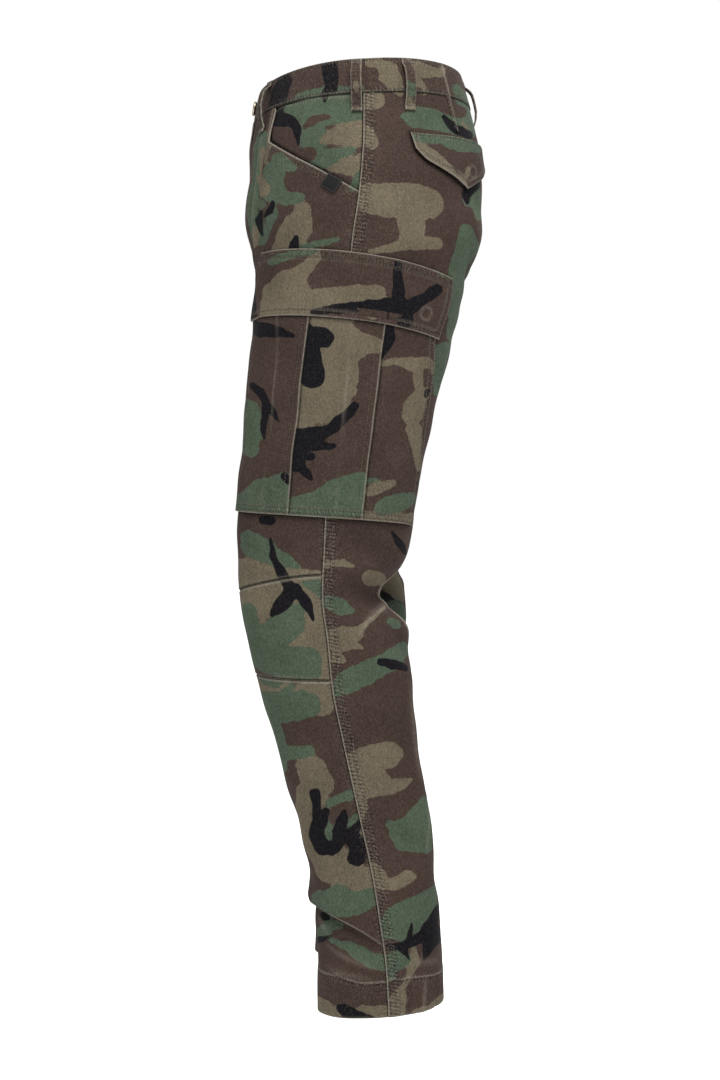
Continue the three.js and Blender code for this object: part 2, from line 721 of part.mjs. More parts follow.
for (const leg of ["left", "right"]) {
  addPiece(`front_${leg}`, legPanel(leg, "front"), cloth(COLOURS.camo));
  addPiece(`back_${leg}`, legPanel(leg, "back"), cloth(COLOURS.camo));
  addPiece(`hip_patch_${leg}`, hipPatch(leg), cloth(COLOURS.camo));
  addPiece(`waistband_${leg}`, waistband(leg), cloth(COLOURS.band));
  addPiece(`cargo_pocket_${leg}`, cargoPocket(leg), cloth(COLOURS.pocket));
  addPiece(`cargo_flap_${leg}`, cargoFlap(leg), cloth(COLOURS.pocket));
  addPiece(`back_flap_${leg}`, backFlap(leg), cloth(COLOURS.pocket));
  addPiece(`back_dart_${leg}`, backDart(leg), cloth(COLOURS.camo));
}
for (const loop of LOOPS) addPiece(`belt_loop_${loop.name}`, beltLoop(loop), cloth(COLOURS.loop));
addPiece("fly_placket", flyPlacket(), cloth(COLOURS.camo));
addPiece("pocket_tab", pocketTab(), cloth(COLOURS.tab));
addButton();

export default trousers;
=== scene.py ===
"""Camouflage cargo trousers in their worn shape, with nobody in them: the looks round the solids.

Lengths are millimetres until a mesh is built, and metres in the scene. +Z is up, the front faces -Y
and the wearer's left is +X. The cloth surface is the one that the solids are cut from, so each
piece lies where its solid does.
"""

import logging
import math
from dataclasses import dataclass, field
from enum import Enum

import bpy
import numpy as np
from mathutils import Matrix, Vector


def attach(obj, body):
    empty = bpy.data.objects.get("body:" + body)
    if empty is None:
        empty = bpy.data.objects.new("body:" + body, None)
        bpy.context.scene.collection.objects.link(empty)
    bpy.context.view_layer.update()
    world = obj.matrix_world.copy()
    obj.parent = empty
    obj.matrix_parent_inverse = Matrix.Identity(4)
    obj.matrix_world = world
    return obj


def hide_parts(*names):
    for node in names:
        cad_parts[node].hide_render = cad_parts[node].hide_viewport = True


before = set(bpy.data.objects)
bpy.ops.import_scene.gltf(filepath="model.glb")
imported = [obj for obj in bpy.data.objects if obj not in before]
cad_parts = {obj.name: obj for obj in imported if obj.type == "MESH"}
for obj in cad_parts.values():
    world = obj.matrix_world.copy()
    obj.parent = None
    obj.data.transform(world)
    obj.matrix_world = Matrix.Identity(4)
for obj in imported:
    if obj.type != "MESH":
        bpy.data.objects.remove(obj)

Grid = np.ndarray
LOG = logging.getLogger("trousers")
MM = 0.001
BODY = "root"

# Driving sizes, as the solids have them
OUTSEAM = 1046
TWILL = 1.8
SEAM_GAP = 0.04
LAY_GAP = 0.8
LEG_GAP = 1.7
BACK_ROUND = 2.2
HEM_EXTRA = 0.6
HEM_TILT = 0.083
HEM_LEVEL = -4
FELL_RISE = 1
BAND_HEIGHT = 38
BAND_THICK = 3.2
BAND_PROUD = 1.4
UNDERLAP = 34
UNDERLAP_RAMP = 12
UNDERLAP_INSET = 2.4
FLY_WIDTH = 38
FLY_PAST = 5
FLY_BOTTOM = -188
FLY_CURVE = 46
FLY_THICK = 1.6
SLASH_TOP_ARC = -128
SLASH_CORNER_ARC = -123
SLASH_CORNER = -80
SLASH_SIDE = -151
SLASH_UNDER = 10
SLASH_INSET = 3.3
SLASH_EASE = 30
TUCKED = 5
TAB_ARC = -27
TAB_WIDTH = 19
TAB_DROP = 15.5
TAB_THICK = 1.2
LOOP_WIDTH = 12
LOOP_THICK = 2.2
LOOP_LENGTH = 60
LOOP_TOP = -0.5
BAND_TOP = 1.6
FLAP_THICK = 2.4
CARGO_BULGE = 1.9
BACK_FLAP_FRONT = 52
BACK_FLAP_BACK = 213
BACK_FLAP_TOP = -87
BACK_FLAP_STAND = 1.4
BACK_FLAP_SLANT = 6
FIRST_ROW = -BAND_HEIGHT - SEAM_GAP
TOP_FADE = 200
DART_FADE = 34
LEDGE_ROWS = 90
LEDGE_SHARE = 0.62

# Mesh spacing and the extra lines beside an edge or a seam
FINE_STEP = 2.4
EDGE_LINES = (0, 0.3, 0.8, 1.5, 2.4)
FELL_LINES = (0, 0.35, 0.9, 1.6, 2.1, 2.7, 4.2, 6.2, 7.9, 8.5, 9.2, 10.4, 11.2, 12.4)
FELL_STITCH_ROWS = (2.1, 8.5)


class Leg(Enum):
    """Which leg of the garment a piece is on."""

    LEFT = "left"
    RIGHT = "right"


class Part(Enum):
    """Which half of a leg, before or behind its side seam."""

    FRONT = "front"
    BACK = "back"


class Tone(Enum):
    """The print's four colours, in the order in which one covers another."""

    BROWN = 0
    KHAKI = 1
    GREEN = 2
    BLACK = 3


# The right leg is mostly out of sight, so its mesh is coarser
CLOTH_STEP = {Leg.LEFT: 3.3, Leg.RIGHT: 4.5}


def smooth(x: Grid, low: float, high: float) -> Grid:
    """0 below low, 1 above high, and eased between."""
    t = np.clip((np.asarray(x, float) - low) / (high - low), 0, 1)
    return t * t * (3 - 2 * t)


def bell(x: Grid, middle: float, width: float) -> Grid:
    """A soft hump, 1 at its middle and about a third at its width."""
    return np.exp(-(((np.asarray(x, float) - middle) / width) ** 2))


def unit(vectors: Grid) -> Grid:
    """The vectors scaled to length 1."""
    return vectors / np.maximum(np.linalg.norm(vectors, axis=-1, keepdims=True), 1e-9)


def off_line(x: Grid, y: Grid, start: tuple, end: tuple) -> tuple:
    """How far places are from a straight line between two points, and their share along it.

    Args:
        x: places across.
        y: places up.
        start: the line's first end.
        end: the line's other end.

    Returns:
        The distances and the shares.
    """
    dx, dy = end[0] - start[0], end[1] - start[1]
    t = np.clip(((x - start[0]) * dx + (y - start[1]) * dy) / (dx * dx + dy * dy or 1), 0, 1)
    return np.hypot(x - start[0] - dx * t, y - start[1] - dy * t), t


class Columns:
    """Rows of numbers under named columns, read as smooth curves against the first column."""

    def __init__(self, names: str, rows: list) -> None:
        """Keeps the rows in rising order of the first column.

        Args:
            names: the columns' names, parted by spaces.
            rows: one tuple of numbers for each row.
        """
        self.names = names.split()
        data = np.array(rows, float)
        self.data = data[np.argsort(data[:, 0])]

    def at(self, name: str, x: Grid) -> Grid:
        """Monotone cubic through one column.

        Args:
            name: the column's name.
            x: where to read it, in the first column's units.

        Returns:
            The column's value at each place, held level past both ends.
        """
        keys = self.data[:, 0]
        values = self.data[:, self.names.index(name)]
        slopes = np.diff(values) / np.diff(keys)
        before, after = slopes[:-1], slopes[1:]
        total = np.where(before * after > 0, before + after, 1)
        inner = np.where(before * after > 0, 2 * before * after / total, 0)
        tangents = np.concatenate([slopes[:1], inner, slopes[-1:]])
        x = np.asarray(x, float)
        i = np.clip(np.searchsorted(keys, x, side="right") - 1, 0, len(keys) - 2)
        step = keys[i + 1] - keys[i]
        t = np.clip((x - keys[i]) / step, 0, 1)
        level = values[i] * (1 + 2 * t) * (1 - t) ** 2 + values[i + 1] * t * t * (3 - 2 * t)
        return level + step * (tangents[i] * t * (1 - t) ** 2 - tangents[i + 1] * t * t * (1 - t))


# Level sections of the left half, as the solids have them
SECTIONS = Columns(
    "z front side back mid outer inner centre_front centre_back round",
    [
        (20, -118, 1, 114, 0, 147, 0, -118, 114, 1.75),
        (0, -122, 0, 120, 2, 151, 0, -122, 120, 1.75),
        (-43, -128, 0, 130, 18, 158, 0, -127, 129, 1.9),
        (-80, -130, 0, 136, 36, 168, 0, -129, 133, 2.1),
        (-120, -131, -2, 138, 52, 178, 0, -129, 134, 2.2),
        (-160, -132, -6, 137, 64, 184, 0, -127, 127, 2.2),
        (-200, -127, -12, 128, 74, 187, 0, -118, 106, 2.2),
        (-230, -124, -15, 118, 81, 187, 0, -101, 79, 2.2),
        (-250, -122, -17, 114, 85, 187, 0, -76, 50, 2.2),
        (-262, -122, -18, 111, 88, 187, 0, -50, 14, 2.2),
        (-268, -122, -19, 110, 89, 187, 0.1, -19, -19, 2.2),
        (-300, -124, -22, 104, 94, 187, 6, -22, -22, 2.2),
        (-350, -131, -27, 90, 99, 186, 15, -27, -27, 2.2),
        (-400, -136, -32, 78, 103, 186, 23, -32, -32, 2.2),
        (-450, -137, -37, 66, 107, 186, 31, -37, -37, 2.2),
        (-500, -140, -41, 56, 111, 186, 39, -41, -41, 2.2),
        (-540, -141, -43, 51, 114, 186, 45, -43, -43, 2.2),
        (-590, -139, -45, 49, 117, 187, 50, -45, -45, 2.2),
        (-640, -131, -39, 50, 120, 188, 54, -39, -39, 2.2),
        (-690, -118, -34, 55, 122, 188, 57, -34, -34, 2.2),
        (-740, -102, -24, 59, 124, 188, 60, -24, -24, 2.2),
        (-790, -89, -13, 66, 127, 189, 63, -13, -13, 2.2),
        (-840, -74, -2, 74, 129, 190, 66, -2, -2, 2.2),
        (-890, -61, 9, 81, 131, 191, 69, 9, 9, 2.2),
        (-940, -53, 17, 85, 133, 193, 72, 17, 17, 2.2),
        (-990, -50, 24, 88, 134, 195, 73, 24, 24, 2.2),
        (-1060, -50, 28, 90, 135, 196, 74, 28, 28, 2.2),
    ],
)
RIGHT_POSE = Columns("z shift", [(20, 0), (-400, 0), (-640, 5), (-1046, -10)])
WAIST_RISE = {Part.FRONT: -3, Part.BACK: 15}


@dataclass(frozen=True)
class Fold:
    """One of the largest folds, which the solids have too. A hollow's depth is negative."""

    leg: Leg
    part: Part
    z: float
    across: float
    half_height: float
    half_width: float
    depth: float
    slope: float = 0
    ledge: bool = False

    def line(self, across: Grid) -> Grid:
        """Height of the fold's middle, which falls ever more steeply toward the side seam."""
        toward = (across - self.across) / (1 - self.across)
        return self.z + self.slope * np.where(toward > 0, np.maximum(toward, 0) ** 2.4, toward)


FOLDS = (
    Fold(Leg.LEFT, Part.BACK, -588, 0.5, 24, 0.36, -33),
    Fold(Leg.RIGHT, Part.BACK, -566, 0.5, 20, 0.36, -9),
    Fold(Leg.LEFT, Part.FRONT, -934, 0.55, 24, 0.42, 7, -34, True),
    Fold(Leg.RIGHT, Part.FRONT, -946, 0.5, 24, 0.42, 6, -22, True),
    Fold(Leg.LEFT, Part.BACK, -905, 0.45, 20, 0.3, -3),
    Fold(Leg.RIGHT, Part.BACK, -880, 0.5, 20, 0.3, -4),
    Fold(Leg.LEFT, Part.FRONT, -236, 0.22, 16, 0.2, -4),
    Fold(Leg.RIGHT, Part.FRONT, -232, 0.24, 16, 0.2, -4),
    Fold(Leg.LEFT, Part.BACK, -300, 0.35, 16, 0.26, -4),
    Fold(Leg.RIGHT, Part.BACK, -296, 0.35, 16, 0.26, -4),
)
KNEE_DARTS = ((-568, -587), (-682, -680))


# Creases: the arc and height of both ends, the width, how far it stands out (a trough
# is negative) and how much its crest has paled. Arcs run from the side seam, forward negative.
CREASES_LEFT = (
    (-140, -70, -148, -215, 7, 2.2, 0.3), (-152, -95, -170, -240, 8, -1.8, 0), (-128, -92, -133, -150, 5, -1.2, 0),
    (-163, -80, -196, -190, 9, 2.4, 0.3), (-185, -190, -120, -228, 10, -1.8, 0), (-150, -235, -70, -214, 10, 1.3, 0),
    (30, -195, 110, -215, 14, 1.3, 0), (150, -160, 225, -215, 12, 2.0, 0.2), (160, -200, 215, -262, 12, -2.2, 0),
    (17, -521, 80, -547, 13, -2.4, 0), (44, -553, 66, -560, 4, 1.0, 0.1), (8, -560, 78, -573, 9, 1.4, 0),
    (60, -528, 128, -536, 12, 1.6, 0), (138, -562, 126, -582, 6, 2.6, 1.8), (127, -581, 112, -594, 6, 2.6, 2),
    (113, -592, 109, -604, 6, 2.4, 2), (110, -602, 122, -642, 6, 2.0, 1.6), (114, -598, 58, -609.5, 5, 2.6, 0.45),
    (66, -607.5, 46, -618, 4.5, 2.2, 0.45), (49, -615, 38, -631, 4, 1.8, 0.4), (84, -627, 118, -668, 13, -2.6, 0),
    (40, -664, 108, -650, 12, 1.5, 0), (20, -640, 60, -690, 12, -1.1, 0), (100, -690, 88, -790, 8, 1.4, 0.25),
    (76, -700, 70, -812, 14, -1.3, 0), (98, -812, 76, -872, 5, 1.5, 0.3), (20, -838, 92, -872, 14, -1.3, 0),
    (12, -905, 85, -884, 12, 1.4, 0), (10, -948, 80, -962, 9, -1.4, 0), (30, -985, 70, -990, 8, 1.2, 0.2),
    (44, -1003, 38, -1046, 4, 1.3, 0.3), (24, -1000, 22, -1040, 4, -1.1, 0), (62, -1004, 60, -1046, 5, -1.2, 0),
    (-64, -955, -4, -975, 7, -1.5, 0), (-70, -972, -12, -992, 6, 1.3, 0.25), (-74, -996, -20, -1003, 5, 1.0, 0.2),
    (-70, -1018, -40, -1024, 5, -0.8, 0), (-58, -962, -86, -940, 7, 2.0, 0.2), (-60, -700, -22, -760, 13, -1.1, 0),
    (-92, -720, -60, -830, 14, 1.2, 0), (-48, -840, -20, -905, 12, -1.1, 0), (-96, -596, -40, -612, 12, 1.3, 0),
    (-100, -640, -50, -664, 13, -1.3, 0), (-116, -548, -60, -556, 12, 1.2, 0), (-190, -300, -160, -520, 16, 1.6, 0),
    (-226, -330, -200, -560, 14, -1.6, 0), (160, -330, 190, -480, 16, -1.6, 0), (-170, -610, -150, -800, 14, 1.3, 0),
    (160, -640, 150, -800, 14, 1.4, 0),
)
CREASES_RIGHT = (
    (-138, -72, -150, -205, 8, 2.0, 0.3), (-155, -90, -176, -236, 8, -2.0, 0), (-168, -84, -200, -188, 9, 2.3, 0.3),
    (-180, -186, -112, -232, 10, -1.9, 0), (36, -190, 118, -219, 14, 1.4, 0), (146, -166, 220, -208, 12, 2.1, 0.2),
    (165, -196, 210, -264, 12, -2.2, 0), (22, -528, 92, -542, 12, -2.2, 0), (40, -548, 120, -560, 8, 2.0, 0.1),
    (100, -556, 172, -552, 9, -2.6, 0), (60, -584, 150, -580, 9, 2.2, 0.1), (70, -606, 130, -640, 12, -2.0, 0),
    (30, -650, 108, -662, 12, 1.4, 0), (104, -700, 84, -800, 9, 1.4, 0.2), (60, -720, 72, -830, 14, -1.4, 0),
    (24, -842, 96, -868, 13, -1.6, 0), (14, -898, 90, -902, 10, 1.6, 0.2), (28, -960, 90, -952, 9, -1.4, 0),
    (40, -1000, 36, -1046, 4, 1.2, 0.3), (66, -1002, 70, -1046, 5, -1.2, 0), (-66, -962, -8, -972, 7, -1.5, 0),
    (-80, -984, -20, -990, 6, 1.3, 0.2), (-56, -700, -30, -776, 13, -1.2, 0), (-90, -716, -64, -840, 14, 1.3, 0),
    (-98, -600, -36, -616, 12, 1.3, 0), (-104, -640, -46, -668, 13, -1.3, 0), (-188, -310, -164, -530, 16, 1.6, 0),
    (-222, -330, -204, -550, 14, -1.6, 0), (160, -330, 186, -470, 16, -1.6, 0), (-172, -620, -150, -790, 14, 1.3, 0),
    (158, -650, 152, -820, 14, 1.4, 0),
)
CREASE_STRENGTH = 1.3
CREASES = {Leg.LEFT: CREASES_LEFT, Leg.RIGHT: CREASES_RIGHT}


class GarmentForm:
    """The outer cloth surface of both legs, by the share across a half and the height."""

    STEP = 2.0
    TOP = 24.0
    BOTTOM = -1066.0
    PLACES = 181
    QUADRANT = 96
    RIPPLES = 14
    RIPPLE_SIZE = 0.34

    def __init__(self) -> None:
        """Works the level sections out once, as tables of points evenly spaced round the cloth."""
        self.heights = np.arange(self.TOP, self.BOTTOM, -self.STEP)
        self.tables: dict = {}
        self.girths: dict = {}
        for part in Part:
            self._tabulate(part)
        draw = np.random.default_rng(11)
        angle = draw.uniform(0, math.pi, self.RIPPLES)
        wave = draw.uniform(26, 105, self.RIPPLES)
        self.ripple_x = np.cos(angle) * 2 * math.pi / wave
        self.ripple_y = np.sin(angle) * 2 * math.pi / wave
        self.ripple_phase = draw.uniform(0, 2 * math.pi, (2, 2, self.RIPPLES))
        self.ripple_depth = self.RIPPLE_SIZE * (wave / 80) ** 0.8

    def _tabulate(self, part: Part) -> None:
        """Fills the table of one half, resampled by length.

        Args:
            part: the front or back half.
        """
        z = self.heights[:, None]
        side = SECTIONS.at("side", z)
        reach = SECTIONS.at(part.value, z) - side
        seam = SECTIONS.at("centre_" + part.value, z) - side
        middle = SECTIONS.at("mid", z)
        inward = middle - SECTIONS.at("inner", z) - SEAM_GAP / 2
        outward = SECTIONS.at("outer", z) - middle
        power = SECTIONS.at("round", z) if part is Part.FRONT else BACK_ROUND + 0 * z
        cut = np.clip(seam / reach, 0, 0.9999)
        fullness = (1 - cut**power) ** (1 / power)
        t = np.sin(np.arange(self.QUADRANT, 0, -1) / self.QUADRANT * math.pi / 2)[None, :]
        inner_y = side + reach * (1 - (fullness * t) ** power) ** (1 / power)
        angle = np.arange(self.QUADRANT + 1)[None, :] / self.QUADRANT * math.pi / 2
        outer_x = middle + outward * np.abs(np.sin(angle)) ** (2 / power)
        outer_y = side + reach * np.abs(np.cos(angle)) ** (2 / power)
        x = np.concatenate([middle - inward * t, outer_x], axis=1)
        y = np.concatenate([inner_y, outer_y], axis=1)
        run = np.hypot(np.diff(x, axis=1), np.diff(y, axis=1))
        lengths = np.concatenate([np.zeros_like(z), np.cumsum(run, axis=1)], axis=1)
        total = lengths[:, -1]
        share = np.linspace(0, 1, self.PLACES)
        table = np.empty((len(self.heights), self.PLACES, 2))
        for i, length in enumerate(lengths):
            want = SEAM_GAP / 2 + share * (total[i] - SEAM_GAP)
            table[i, :, 0] = np.interp(want, length, x[i])
            table[i, :, 1] = np.interp(want, length, y[i])
        self.tables[part] = table
        self.girths[part] = total

    def girth(self, part: Part, z: Grid) -> Grid:
        """The cloth's length round one half at each height."""
        return np.interp(-np.asarray(z, float), -self.heights, self.girths[part])

    def bare(self, leg: Leg, part: Part, across: Grid, z: Grid) -> Grid:
        """Points of the left half's surface without folds, in the leg's pose.

        Args:
            leg: the leg.
            part: the front or back half.
            across: share of the half's width, 0 at the inner seam and 1 at the side seam.
            z: height.

        Returns:
            The points.
        """
        across, z = np.broadcast_arrays(np.asarray(across, float), np.asarray(z, float))
        row = np.clip((self.TOP - z) / self.STEP, 0, len(self.heights) - 1.001)
        place = np.clip(across, 0, 1) * (self.PLACES - 1.001)
        i, j = row.astype(int), place.astype(int)
        a, b = (row - i)[..., None], (place - j)[..., None]
        table = self.tables[part]
        upper = table[i, j] * (1 - b) + table[i, j + 1] * b
        lower = table[i + 1, j] * (1 - b) + table[i + 1, j + 1] * b
        flat = upper * (1 - a) + lower * a
        if leg is Leg.RIGHT:
            flat = flat + np.stack([0 * z, RIGHT_POSE.at("shift", z)], axis=-1)
        return np.concatenate([flat, z[..., None]], axis=-1)

    def normal(self, leg: Leg, part: Part, across: Grid, z: Grid) -> Grid:
        """Outward normals of the left half's surface, without folds.

        Args:
            leg: the leg.
            part: the front or back half.
            across: share of the half's width, 0 at the inner seam and 1 at the side seam.
            z: height.

        Returns:
            The normals.
        """
        near = np.clip(across, 0.01, 0.99)
        along = self.bare(leg, part, near + 0.01, z) - self.bare(leg, part, near - 0.01, z)
        z = np.asarray(z, float)
        down = self.bare(leg, part, near, z - 4) - self.bare(leg, part, near, z + 4)
        turned = unit(np.cross(along, down))
        return -turned if part is Part.FRONT else turned

    def swell(self, leg: Leg, part: Part, across: Grid, z: Grid) -> Grid:
        """How far the cloth stands off its plain form: folds, creases and slight ripples.

        Args:
            leg: the leg.
            part: the front or back half.
            across: share of the half's width, 0 at the inner seam and 1 at the side seam.
            z: height.

        Returns:
            The distances.
        """
        out = np.zeros(np.broadcast(across, z).shape)
        for fold in FOLDS:
            if fold.leg is not leg or fold.part is not part:
                continue
            wide = np.exp(-(((across - fold.across) / fold.half_width) ** 4))
            above = (z - fold.line(across)) / fold.half_height
            shape = np.exp(-(above**2))
            if fold.ledge:
                below = -0.35 * np.exp(-((above * 1.6) ** 2))
                shape = np.where(above > 0, shape, below) * smooth(np.abs(above), 0, 0.25)
            out += fold.depth * wide * shape
        girth = self.girth(part, z)
        arc = (1 - across) * girth * (-1 if part is Part.FRONT else 1)
        out += CREASE_STRENGTH * self.creases(leg, arc, z)[0]
        waves = np.zeros_like(out)
        phases = self.ripple_phase[list(Leg).index(leg)][list(Part).index(part)]
        for kx, ky, phase, depth in zip(self.ripple_x, self.ripple_y, phases, self.ripple_depth):
            waves += depth * np.sin(arc * kx + z * ky + phase)
        calm = smooth(across * girth, 2, 26) * smooth(np.abs(arc), 2, 30) * smooth(-z, 46, 90)
        return out + waves * calm

    def creases(self, leg: Leg, arc: Grid, z: Grid) -> tuple:
        """The placed creases at each point.

        Args:
            leg: the leg.
            arc: distance round the cloth from the side seam, forward negative.
            z: height.

        Returns:
            How far they push the cloth out, and how pale their crests are.
        """
        arc, z = np.broadcast_arrays(arc, z)
        push = np.zeros(arc.shape)
        worn = np.zeros(arc.shape)
        for u0, v0, u1, v1, width, depth, paled in CREASES[leg]:
            away, t = off_line(arc, z, (u0, v0), (u1, v1))
            swell = 0.35 + 0.65 * np.sin(math.pi * np.clip(t, 0.02, 0.98))
            push += depth * bell(away, 0, width * (0.6 + 0.4 * swell)) * swell
            worn = np.maximum(worn, paled * bell(away, 0, width * 0.5) * swell)
        return push, worn

    def shell(self, leg: Leg, part: Part, across: Grid, z: Grid, out: Grid) -> tuple:
        """Points of the garment moved out from its surface.

        Args:
            leg: the leg.
            part: the half.
            across: 0 at the centre or inseam and 1 at the side seam.
            z: height.
            out: distance from the surface.

        Returns:
            The points and the outward normals there.
        """
        across, z = np.broadcast_arrays(np.asarray(across, float), np.asarray(z, float))
        normals = self.normal(leg, part, across, z)
        push = self.swell(leg, part, across, z) + out
        points = self.bare(leg, part, across, z) + normals * push[..., None]
        points[..., 0] = np.maximum(points[..., 0], SEAM_GAP / 2)
        if leg is Leg.RIGHT:
            points[..., 0] *= -1
            normals = normals * np.array([-1, 1, 1])
        return points, normals

    def by_arc(self, leg: Leg, arc: Grid, z: Grid, out: Grid) -> tuple:
        """The same by the distance round the cloth from the side seam, forward negative.

        Args:
            leg: the leg.
            arc: distance round the cloth from the side seam, forward negative.
            z: height.
            out: how far the places stand off the form.

        Returns:
            The points and their normals.
        """
        arc, z, out = np.broadcast_arrays(np.asarray(arc, float), z, out)
        points = np.empty(arc.shape + (3,))
        normals = np.empty(arc.shape + (3,))
        for part, mask in ((Part.FRONT, arc < 0), (Part.BACK, arc >= 0)):
            if mask.any():
                across = 1 - np.abs(arc[mask]) / self.girth(part, z[mask])
                points[mask], normals[mask] = self.shell(leg, part, across, z[mask], out[mask])
        return points, normals


def waist_rise(part: Part, across: Grid) -> Grid:
    """How much higher than at the side seam the waist is."""
    return WAIST_RISE[part] * (1 - np.asarray(across, float))


def slash_line(arc: Grid) -> Grid:
    """Height of the slanted hip pocket's edge at each arc of the front."""
    arcs = (SLASH_TOP_ARC, SLASH_CORNER_ARC, 0)
    return np.interp(arc, arcs, (-BAND_HEIGHT, SLASH_CORNER, SLASH_SIDE))


@dataclass(frozen=True)
class PanelRows:
    """The heights that the rows of a leg panel follow."""

    form: GarmentForm

    def front_top(self, across: Grid) -> Grid:
        """Height of the front panel's top edge.

        Args:
            across: share of the half's width, 0 at the inner seam and 1 at the side seam.

        Returns:
            The heights.
        """
        z = FIRST_ROW + 0 * across
        for _ in range(4):
            z = slash_line(-(1 - across) * self.form.girth(Part.FRONT, z)) - SEAM_GAP
        return z

    def height(self, part: Part, across: Grid, row: Grid) -> Grid:
        """Height of each point of a row, which follows the waist, the folds and the hem.

        Args:
            part: the front or back half.
            across: share of the half's width, 0 at the inner seam and 1 at the side seam.
            row: the row's own height.

        Returns:
            The heights.
        """
        fade = np.clip((row + TOP_FADE) / (TOP_FADE + FIRST_ROW), 0, 1)
        z = row + waist_rise(part, across) * fade + self._ledge_shift(part, across, row)
        y = self.form.bare(Leg.LEFT, part, across, row)[..., 1]
        z = z + HEM_TILT * (y - HEM_LEVEL) * smooth(-row, OUTSEAM - 110, OUTSEAM)
        if part is Part.FRONT:
            z = z + (self.front_top(across) - FIRST_ROW) * fade + self._dart_shift(across, row)
        return z

    @staticmethod
    def _ledge_shift(part: Part, across: Grid, row: Grid) -> Grid:
        """Rows near the front's lowest fold slant with it.

        Args:
            part: the front or back half.
            across: share of the half's width, 0 at the inner seam and 1 at the side seam.
            row: the row's own height.

        Returns:
            How far each place is moved up.
        """
        ledge = next(fold for fold in FOLDS if fold.ledge)
        near = np.maximum(0, 1 - ((row - ledge.z) / LEDGE_ROWS) ** 2)
        lean = (across - ledge.across) / (1 - ledge.across) if part is Part.FRONT else across**3
        return LEDGE_SHARE * near * ledge.slope * lean

    @staticmethod
    def _dart_shift(across: Grid, row: Grid) -> Grid:
        """Rows near the upper knee dart lean with its line.

        Args:
            across: share of the half's width, 0 at the inner seam and 1 at the side seam.
            row: the row's own height.

        Returns:
            How far each place is moved up.
        """
        side, front = KNEE_DARTS[0]
        near = np.maximum(0, 1 - np.abs(row - front) / DART_FADE)
        return near * (side - front) * smooth(across, 0.45, 1)


# The print, charted as brush strokes on squared paper laid over the side view. One square
# is CHART_STEP, and a stroke is a chain of round dabs: across, down, radius.
CHART_STEP = 1.0855
CHART_MIDDLE = (360, 540)
CHART_EYE = (2000, -3.6, -529.6)
CHART_PLANE = 180
LEG_LINE = ((60, 372), (250, 356), (420, 340), (600, 322), (700, 335), (800, 358), (900, 374), (1020, 382))
REPEAT_WIDTH = 190
REPEAT_DROP = 330
REPEAT_FROM = 264
REPEAT_TO = 450
LARGE_DAB = 6
TURNED_ABOUT = 1210
CHART_DEPTH = 960
INK_REACH = 9.0


@dataclass(frozen=True)
class Stroke:
    """One brush stroke of a tone: a chain of round dabs."""

    tone: Tone
    dabs: tuple

    def depth(self, u: Grid, v: Grid) -> Grid:
        """How far inside the stroke each place is, in squares. It is negative outside.

        Args:
            u: places across the chart.
            v: places down the chart.

        Returns:
            The depths.
        """
        best = np.full(u.shape, -1e3)
        chain = self.dabs if len(self.dabs) > 1 else self.dabs * 2
        for start, end in zip(chain, chain[1:]):
            away, t = off_line(u, v, start, end)
            best = np.maximum(best, start[2] + (end[2] - start[2]) * t - away)
        return best

    def repeats(self) -> bool:
        """Whether the stroke is large and lies on the chart's middle, away from its edges."""
        x, _, r = (np.array(column) for column in zip(*self.dabs))
        return bool(r.max() >= LARGE_DAB and REPEAT_FROM <= x.mean() <= REPEAT_TO)

    def straightened(self) -> "Stroke":
        """The stroke measured from the leg's middle."""
        return Stroke(self.tone, tuple((x - float(leg_line(y)), y, r) for x, y, r in self.dabs))

    def moved(self, across: float, down: float) -> "Stroke":
        """The same stroke in another place."""
        return Stroke(self.tone, tuple((x + across, y + down, r) for x, y, r in self.dabs))

    def box(self) -> tuple:
        """Lowest and highest u and v that the stroke can touch."""
        x, y, r = (np.array(column) for column in zip(*self.dabs))
        return (x - r).min(), (x + r).max(), (y - r).min(), (y + r).max()


def charted(rows: str) -> tuple:
    """The strokes of a chart: in each row a tone and its dabs, each as across, down, radius.

    Args:
        rows: the chart's text, with a stroke to a row.

    Returns:
        The strokes.
    """
    strokes = []
    for row in rows.replace(";", "\n").strip().splitlines():
        name, *dabs = row.split()
        strokes.append(Stroke(Tone[name.upper()], tuple(tuple(map(float, dab.split(","))) for dab in dabs)))
    return tuple(strokes)


